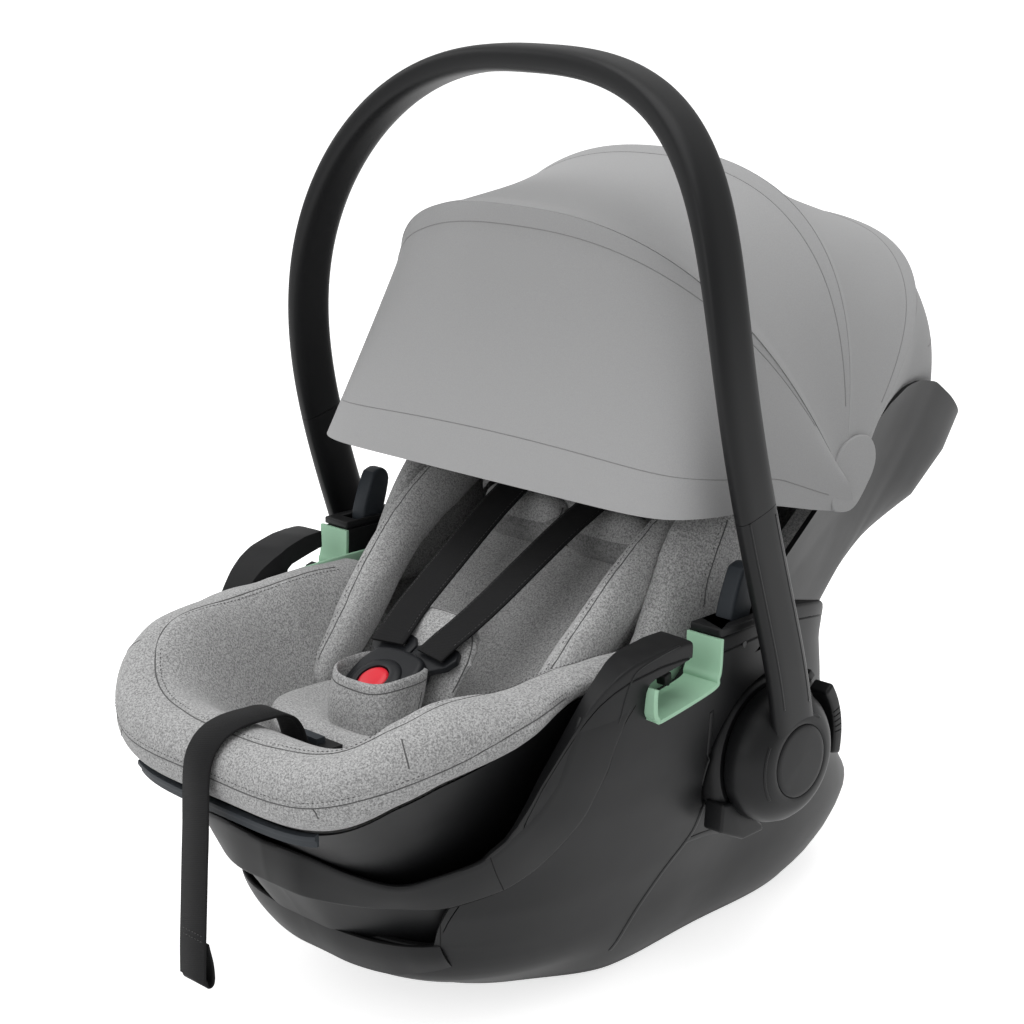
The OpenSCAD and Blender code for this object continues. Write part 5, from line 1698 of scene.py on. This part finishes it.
@dataclass
class Cushions(Assembly):
    """Front cover with its roll, wings, insert and headrest padding."""

    bucket: Bucket
    insert_rows: Table = (
        (0, -237, 12, 44, 4), (0, -234, 13, 60, 9), (0, -224, 13, 74, 13), (0, -206, 10, 82, 14),
        (0, -176, 5, 87, 13), (0, -146, 2, 89, 13), (0, -120, 6, 89, 13), (0, -98, 20, 88, 13), (0, -70, 45, 94, 13),
        (0, -44, 69, 97, 13), (0, -20, 88, 99, 12), (0, 10, 108, 98, 11), (0, 34, 124, 94, 8),
    )
    bolster_route: Table = (
        (92, -166, 16), (97, -150, 28), (101, -124, 54), (106, -92, 87), (109, -58, 117), (110, -20, 141),
        (108, 24, 159),
    )
    bolster_half: Table = ((0, 6), (0.08, 11), (0.3, 13), (0.8, 13.5), (1, 9))
    seam_route: Table = (
        (0, -322, 55), (40, -320, 56), (78, -312, 60), (105, -298, 69), (124, -275, 82), (131, -240, 89),
        (133, -205, 89), (134, -170, 90), (136, -138, 91), (136, -108, 91),
    )
    welt_route: Table = (
        (0, -341, 28), (45, -341, 28), (86, -337, 30), (105, -330, 34), (123, -318, 40), (141, -294, 49),
        (153, -264, 57), (161, -236, 66), (165, -205, 74), (162, -175, 78),
    )
    mark_routes: tuple = (((131, -291, 76), (136, -293, 69), (142, -295, 60)),
                          ((96, -333, 32), (98, -331, 29), (99, -330, 26)))

    def roll_centre(self, u: Array) -> tuple[Array, Array, Array, Array]:
        """Centre, outward direction, half width and half height of the rim roll."""
        r = self.bucket.rim(u)
        along = unit((self.bucket.rim(u + 0.5) - self.bucket.rim(u - 0.5)) * [1, 1, 0])
        out = np.where((u <= -89.9)[:, None], [0, -1.0, 0], np.cross(along, [0, 0, 1.0]))
        y = r[:, 1]
        tall = mix(9.5, 25, blend_step((-y - 150) / 130))
        wide = mix(22, 36, blend_step((-y - 120) / 130))
        reach = mix(4, 14, blend_step((-y - 160) / 50))
        centre = r + out * (reach - wide)[:, None] + stack(0, 0, tall - 0.5)
        return centre, out, wide, tall

    def cover(self) -> Object:
        """The front cover: a rounded roll outside, then a smooth slope down to the seat by a cubic curve."""
        u = np.r_[-2.5, -4, np.linspace(-6, -90, 150)]
        centre, out, wide, tall = self.roll_centre(u)
        fade = blend_step((-2.0 - u) / 5) * 0.5 + 0.5
        a = np.linspace(-100, 84, 30)
        arc = (centre[:, None] + out[:, None] * (wide[:, None] * power(dcos(a), 0.8))[..., None]
               + UP * ((tall * fade)[:, None] * power(dsin(a), 0.8))[..., None])
        crest = arc[:, -1]
        drop_y = np.where(crest[:, 1] < -150, -150 + (crest[:, 1] + 150) * 0.55, crest[:, 1])
        low = stack(crest[:, 0] * 0.62, drop_y, mix(3, 20, blend_step((crest[:, 1] + 170) / 90)))
        inward = (low - crest) * [1, 1, 0]
        fall = (crest - low)[:, 2:]
        first, second = crest + inward * 0.42 - UP * fall * 0.03, low - inward * 0.34 + UP * fall * 0.16
        t = np.linspace(0, 1, 44)[None, 1:, None]
        slope = ((1 - t) ** 3 * crest[:, None] + 3 * (1 - t) ** 2 * t * first[:, None]
                 + 3 * (1 - t) * t**2 * second[:, None] + t**3 * low[:, None])
        under = slope[:, ::-3][:, 1:-2] - UP * 7 + unit(inward)[:, None] * -3
        rings = np.concatenate([arc, slope, under], axis=1)
        piece = loft("front_cover", np.concatenate([rings, sided(rings[-2::-1], -1)]))
        return ripple(piece, 90, 1.1, 3)

    def seams(self, piece: Object, routes: Sequence[Table], beside: float, body: str = "seat") -> None:
        """Pulls seams into a pad and sews each with a dark line, and a row of stitches beside it."""
        for route in routes:
            pull_in(piece, route, 1.3, 2.6)
        skin = Skin(piece)
        lines = []
        for route in routes:
            lines += [surface_line("seam", skin, route, 1.0, 0.35, 180), stitches("thread", skin, route, beside)]
        self.dress(join(piece.name + "_seams", lines), Slot.COVER, body=body, finish=THREAD)

    def build(self) -> None:
        """Makes the pads."""
        cover = self.cover()
        loops = [across_middle(np.asarray(r, float)) for r in (self.seam_route, self.welt_route)]
        self.seams(cover, loops, 3.6)
        skin = Skin(cover)
        marks = [surface_line("mark", skin, sided(route, side), 1.0, 0.35, 30)
                 for route in self.mark_routes for side in SIDE_NAMES]
        self.dress(join("cover_marks", marks), Slot.COVER, finish=THREAD)
        self.dress(sharpen(cover, 70), Slot.COVER, "rim_cushion", fill=0.8)
        self._insert()
        for side in SIDE_NAMES:
            self._bolster(side)
            self._wing(side)
        self._headrest()

    def _insert(self) -> None:
        """The insert: one long pad from the seat up the back, its sides lifted, with piping round its front."""
        rows = spline(self.insert_rows, 70)
        along = heading(rows[:, :3])
        up = np.cross(ACROSS, along)
        rings = pillow(rows, ACROSS, up, 0.55, 56)
        lift = 15 * (np.abs(rings[..., 0]) / 88) ** 3 * blend_step((-60 - rings[..., 1]) / 60)
        rings = rings + up[:, None] * lift[..., None]
        pad = ripple(loft("insert_pad", rings), 70, 0.9, 5)
        piping_at = rings[:34, [6, 50]]
        edge = np.concatenate([piping_at[::-1, 1], piping_at[:, 0]])
        self.seams(pad, [resample(edge, 24)], 3.4)
        self.dress(sharpen(pad, 70), Slot.PAD, "insert_seat", "insert_back", fill=0.7)

    def _bolster(self, side: int) -> None:
        """A side bolster: a slim tall pad along its route, stuffed, with a seam along its ridge."""
        tag = SIDE_NAMES[side]
        route = spline(self.bolster_route, 46)
        along = heading(route)
        out = unit(np.cross(along, [0, -0.7, 0.7]))
        up = np.cross(out, along)
        half = lookup(np.linspace(0, 1, len(route)), self.bolster_half)
        rows = np.column_stack([route, half - 2, half * 1.8 - 2])
        rings = pillow(rows, out, up, 0.8, 28)
        pad = Stuffing(travel=4.0).fill(loft("insert_side" + tag, sided(rings, side)))
        self.seams(pad, [sided((route + up * 18)[3:-2:4], side)], 3.2)
        self.dress(pad, Slot.PAD, "insert_bolster" + tag, fill=0.7)

    def _wing(self, side: int) -> None:
        """A wing: level rings from low to high, its front face turned away outwards, stuffed."""
        tag = SIDE_NAMES[side]
        levels = np.array([(64, -96, 0.5), (66, -98, 0.86), (74, -97, 1), (86, -91, 1), (100, -83, 1), (120, -73, 1),
                           (140, -62, 1), (156, -50, 1), (166, -36, 0.98), (172, -18, 0.9), (174.5, -4, 0.6)])
        z, front, share = levels.T[..., None]
        middle, half = (front + 42) / 2, (42 - front) / 2
        x = 137.5 + 17.5 * power(dcos(turn(40)), 0.7) * share
        y = middle + half * power(dsin(turn(40)), 0.7) * share
        rings = stack(x, np.minimum(y + np.maximum(0, x - 122) * 1.05 * blend_step((middle - y) / half), 44), z)
        pad = Stuffing(travel=3.0).fill(loft("wing" + tag, sided(rings, side)))
        edge = [(150, -34, 104), (150, -30, 120), (150, -20, 140), (149, -8, 158)]
        self.seams(pad, [sided(edge, side)], 3.2)
        self.dress(pad, Slot.COVER, "wing_pad" + tag, fill=0.7)

    def _headrest(self) -> None:
        """The headrest's pad and the two lobes at its foot, each with a darker band of lining cloth below its edge,
        partly painted shade.
        """
        rows = spline([(0, 22, 11, 54, 6), (0, 30, 14, 68, 10), (0, 80, 16, 74, 12), (0, 130, 15, 68, 10),
                       (0, 144, 11, 52, 6)], 40)
        pad = Stuffing(travel=4.0).fill(loft("headrest_cushion", on_back(pillow(rows, ACROSS, UP, 0.6, 40))))
        route = on_back([(-62, 40, 24), (-66, 80, 27), (-58, 122, 24)])
        self.seams(pad, [route, sided(route, -1)], 3.4, "headrest")
        self.dress(pad, Slot.PAD, "headrest_pad", body="headrest", fill=0.7)
        for side, tag in SIDE_NAMES.items():
            rows = spline([(41, 3, 11, 22, 5), (41, 7, 15, 34, 10), (41, 17, 19, 39, 14), (41, 29, 18, 37, 13)], 24)
            # The gusset's darker lining cloth gives a dark band below each lobe's edge, partly painted shade.
            under = on_back(pillow(rows + [0, -4.5, -5, 1, -2], ACROSS, UP, 0.75, 32))
            gusset = sharpen(loft("lobe_gusset" + tag, sided(under, side)), 60)
            self.dress(gusset, Slot.LINING, body="headrest", fill=0.6)
            rings = on_back(pillow(rows, ACROSS, UP, 0.75, 32))
            lobe = Stuffing(travel=3.0, voxel=4.0).fill(loft("strap_lobe" + tag, sided(rings, side)))
            edge = on_back([(4, 22, 22), (11, 9, 17), (24, 3, 14), (41, 0, 12), (58, 3, 14), (71, 9, 17),
                            (78, 22, 22)])
            self.seams(lobe, [sided(edge, side)], 3.0, "headrest")
            self.dress(lobe, Slot.PAD, "headrest_lobe" + tag, body="headrest", fill=0.7)


# ---- harness ----


@dataclass
class Harness(Assembly):
    """Webbing, tongues, buckle and the pocket round the buckle's foot."""

    adjuster_width: float = 26.0
    width: float = 28.0
    thick: float = 2.0
    place: tuple = (0.0, -186.0, 50.0)
    slope: float = 28.0
    button_at: tuple = (0.0, -6.0)
    adjuster_route: Table = (
        (0, -261.5, 24), (0, -265, 33), (0, -268.5, 43.5), (0, -275, 52.5), (0, -285, 57), (0, -297, 58),
        (0, -308, 58.5), (0, -319, 58), (0, -329, 55.5), (0, -337, 50.5), (0, -343, 42.5), (0, -346, 32),
        (0, -347, 20), (-1, -347, 8), (-2, -347, -8), (-4, -347, -28), (-6, -347, -50), (-8, -347, -72),
        (-10, -347, -94), (-11, -347, -114),
    )
    shoulder_route: Table = (
        (21, -163, 69), (23, -152, 76), (27, -135, 86), (30, -112, 99), (33, -80, 118), (36, -48, 136.5),
        (38, -23, 149), (39, 0, 160), (40, 14, 166),
    )
    lap_route: Table = ((19, -164, 61), (16, -166, 51), (14, -167, 41), (13, -167, 31), (12, -167, 21))

    def strap_section(self, width: float) -> Array:
        """A flat band's outline with soft edges."""
        w, h = width / 2, self.thick / 2
        return np.array([(w, 0.4 * h), (0.96 * w, h), (0.7 * w, 1.1 * h), (0, h), (-0.7 * w, 1.1 * h), (-0.96 * w, h),
                         (-w, 0.4 * h), (-w, -0.4 * h), (-0.96 * w, -h), (0, -h), (0.96 * w, -h), (w, -0.4 * h)])

    def adjuster(self) -> None:
        """The adjuster's loose strap, hanging over the front rim, its end folded back and sewn into a loop."""
        route = np.asarray(self.adjuster_route, float)
        path = spline(route, 120)
        strap = sharpen(sweep("adjuster_webbing", path, self.strap_section(self.adjuster_width), (1, 0, 0)), 60)
        self.dress(strap, Slot.WEBBING, "adjuster_strap")
        fold = np.array([(-10.9, -345.8, -112), (-11.1, -345.2, -116), (-11, -343.2, -118.2), (-11, -340.2, -117.2),
                         (-10.8, -339.3, -112), (-10.2, -340.5, -102), (-9.6, -343, -92), (-9.2, -344.6, -86)])
        section = self.strap_section(self.adjuster_width - 0.6) * [1, 0.8]
        loop = sharpen(sweep("adjuster_loop", spline(fold, 40), section, (1, 0, 0)), 60)
        self.dress(loop, Slot.WEBBING)
        skin = Skin(strap)
        rows = [stitches("thread", skin, [(x + dx, -348, z) for dx in (-9, -4, 4, 9)], 0, 2.4, 1.8, 0.3)
                for x, z in ((-8.6, -84), (-8.3, -80))]
        self.dress(join("adjuster_thread", rows), Slot.WEBBING, finish=THREAD)

    def on_buckle(self, points: Table) -> Array:
        """Points of the buckle's own frame, moved to its slope."""
        return sloped(points, self.place, self.slope)

    def plate(self, name: str, outline: Table, low: float, high: float) -> Object:
        """A flat outline of the buckle's frame made solid between two heights."""
        p = np.asarray(outline, float)
        return loft(name, np.stack([self.on_buckle(stack(*p.T, z)) for z in (low, high)]))

    def dome(self, name: str, profile: Table) -> Object:
        """A round form of the buckle's frame, by the radius and height of each ring."""
        rings = np.stack([self.on_buckle(stack(*circle(self.button_at, r, turn(64)).T, z)) for r, z in profile])
        return sharpen(loft(name, rings), 50)

    def build(self) -> None:
        """Makes the buckle, its pocket, the tongues and the harness straps."""
        self._buckle()
        for side in SIDE_NAMES:
            self._straps(side)
        self._pocket()
        route = [(0, -204, 14.5), (0, -209, 22), (0, -212, 30), (0, -211, 37)]
        strap = sharpen(sweep("buckle_webbing", spline(route, 24), self.strap_section(self.width - 4), (1, 0, 0)), 60)
        self.dress(strap, Slot.WEBBING, "crotch_strap")

    def _buckle(self) -> None:
        """The buckle: a rounded body with a domed collar round the oval red button."""
        outline = spline([(-15, -30), (0, -31), (15, -30), (24, -19), (27.5, 0), (26.5, 14), (20, 24), (0, 27),
                          (-20, 24), (-26.5, 14), (-27.5, 0), (-24, -19), (-15, -30)], 61)[:-1]
        body = bevel(self.plate("buckle_case", outline, -8.5, 8.5), 4.0, 5, 50)
        collar = [(20.5, 7.2), (20.5, 8.6), (19.2, 10.0), (16.0, 11.0), (13.4, 11.2), (12.2, 10.8), (11.9, 9.8),
                  (11.9, 7.2)]
        well = self.plate("well", circle(self.button_at, 11.9, turn(64)), -2, 20)
        mouths = [self.plate("mouth", [(x, 6), (x + 21.5, 6), (x + 21.5, 46), (x, 46)], -3.2, 3.2) for x in (-23, 1.5)]
        case = sharpen(cut(body, [well] + mouths), 35)
        self.dress(case, Slot.BUCKLE, "buckle_body")
        self.dress(self.dome("buckle_collar", collar), Slot.BUCKLE)
        dome = [(11.3, 3.4), (11.3, 9.2), (10.9, 10.2), (9.6, 10.9), (7, 11.3), (4, 11.5), (0.1, 11.6)]
        self.dress(self.dome("release_dome", dome), Slot.BUTTON, "buckle_button", body="buckle_button")

    def _straps(self, side: int) -> None:
        """One side's tongue, shoulder strap with its sewn lower end, and lap strap."""
        tag = SIDE_NAMES[side]
        outline = np.array([(0.6, 7), (24, 7), (27, 20), (37, 27), (40, 35), (36, 43), (20, 46), (6, 43), (0.8, 37),
                            (0.6, 20)])
        outline = outline * [side, 1]
        tongue = self.plate("latch" + tag, outline, -2.6, 2.6)
        slot = self.plate("slot", np.array([(9, 33), (29, 35), (29, 39), (9, 37.5)]) * [side, 1], -6, 6)
        tongue = sharpen(bevel(cut(tongue, [slot]), 1.1, 3, 40), 35)
        self.dress(tongue, Slot.BUCKLE, "tongue" + tag)
        middle = sided(self.shoulder_route, side)
        path = spline(middle, 120)
        strap = sharpen(sweep("shoulder_webbing" + tag, path, self.strap_section(self.width), (1, -0.1 * side, 0)), 60)
        self.dress(strap, Slot.WEBBING, "shoulder_strap" + tag)
        skin = Skin(strap)
        edges = [stitches("edge", skin, middle[1:] + [dx, 0, 1], 0, 3.0, 2.2, 0.26) for dx in (-12, 12)]
        self.dress(join("shoulder_thread" + tag, edges), Slot.WEBBING, finish=THREAD)
        lap = spline(sided(self.lap_route, side), 60)
        band = sharpen(sweep("lap_webbing" + tag, lap, self.strap_section(self.width - 12), (0.1 * side, 1, 0.4)), 60)
        self.dress(band, Slot.WEBBING, "lap_strap" + tag)

    def _pocket(self) -> None:
        """The pocket: a soft cup whose front edge dips under the button, with a padded lobe standing behind."""
        a = turn(72)
        rows = spline([(2, -198, 26, 19), (14, -197.5, 28.5, 22), (28, -196, 30.5, 24.5), (42, -193, 31.5, 26),
                       (58, -189, 31.5, 25)], 26)
        z, y, wide, deep = rows.T[..., None]
        rim = (z - 2) / 56 * (4 * dcos(a) ** 2 + 2 * blend_step(dsin(a)))
        outer = stack(wide * power(dcos(a), 0.62), y + deep * power(dsin(a), 0.7), z + rim)
        centre = outer.mean(axis=1, keepdims=True)
        inner = centre + (outer - centre) * [0.91, 0.9, 1]
        lip = centre[-1:] + (outer[-1:] - centre[-1:]) * [0.94, 0.93, 1] + [0, 0, 1.6]
        cup = ripple(loft("buckle_pocket", np.concatenate([outer, lip, inner[::-1]])), 40, 0.8, 8)
        skin = Skin(cup)
        rim_line = surface_line("rim", skin, np.vstack([outer[-3][::3], outer[-3][:1]]), 0.9, 0.3, 160)
        side_seam = surface_line("side", skin, outer[4:-2:4, 4], 0.9, 0.35, 60)
        self.dress(join("buckle_pocket_seams", [rim_line, side_seam]), Slot.COVER, finish=THREAD)
        self.dress(sharpen(cup, 60), Slot.COVER, "crotch_pad", fill=0.5)
        rows = spline([(0, -160, 28, 33, 6), (0, -156, 42, 40, 8), (0, -148, 57, 44, 8), (0, -138, 70, 43, 8),
                       (0, -128, 80, 35, 7), (0, -121, 86, 18, 3)], 34)
        along = heading(rows[:, :3])
        lobe = loft("crotch_lobe", pillow(rows, ACROSS, np.cross(ACROSS, along), 0.8, 32))
        Stuffing(travel=2.5, voxel=4.0).fill(lobe)
        edge = [(38, -158, 46), (42, -152, 59), (40, -142, 73), (28, -131, 84), (10, -127, 90), (-10, -127, 90),
                (-28, -131, 84), (-40, -142, 73), (-42, -152, 59)]
        line = surface_line("crotch_lobe_seam", Skin(lobe), edge, 1.0, 0.4, 120)
        self.dress(line, Slot.COVER, finish=THREAD)
        self.dress(lobe, Slot.COVER, fill=0.5)


NODE_SLOTS = {
    Slot.SHELL: ("base_plate", "headrest_guide", "headrest_shell", "bow_mid", "bow_front", "adjuster_housing"),
    Slot.STEEL: ("lock_bar_front", "lock_bar_rear", "axle_right", "axle_left", "lever_pins", "canopy_pins"),
    Slot.TAB: ("adjuster_button",),
}


def main() -> None:
    """Builds the car seat's looks, sub-assembly by sub-assembly."""
    logging.basicConfig(level=logging.INFO, format="%(name)s: %(message)s")
    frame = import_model()
    wardrobe = Wardrobe()
    Studio().build()
    harness = Harness(wardrobe)
    harness.adjuster()
    BaseShell(wardrobe).build()
    bucket = Bucket(wardrobe)
    bucket.build()
    for side in SIDE_NAMES:
        BeltTower(wardrobe, side).build()
    Handle(wardrobe).build()
    Canopy(wardrobe, bucket).build()
    Cushions(wardrobe, bucket).build()
    harness.build()
    for slot, nodes in NODE_SLOTS.items():
        for node in nodes:
            wardrobe.dress_node(frame, node, slot)


if __name__ == "__main__":
    main()
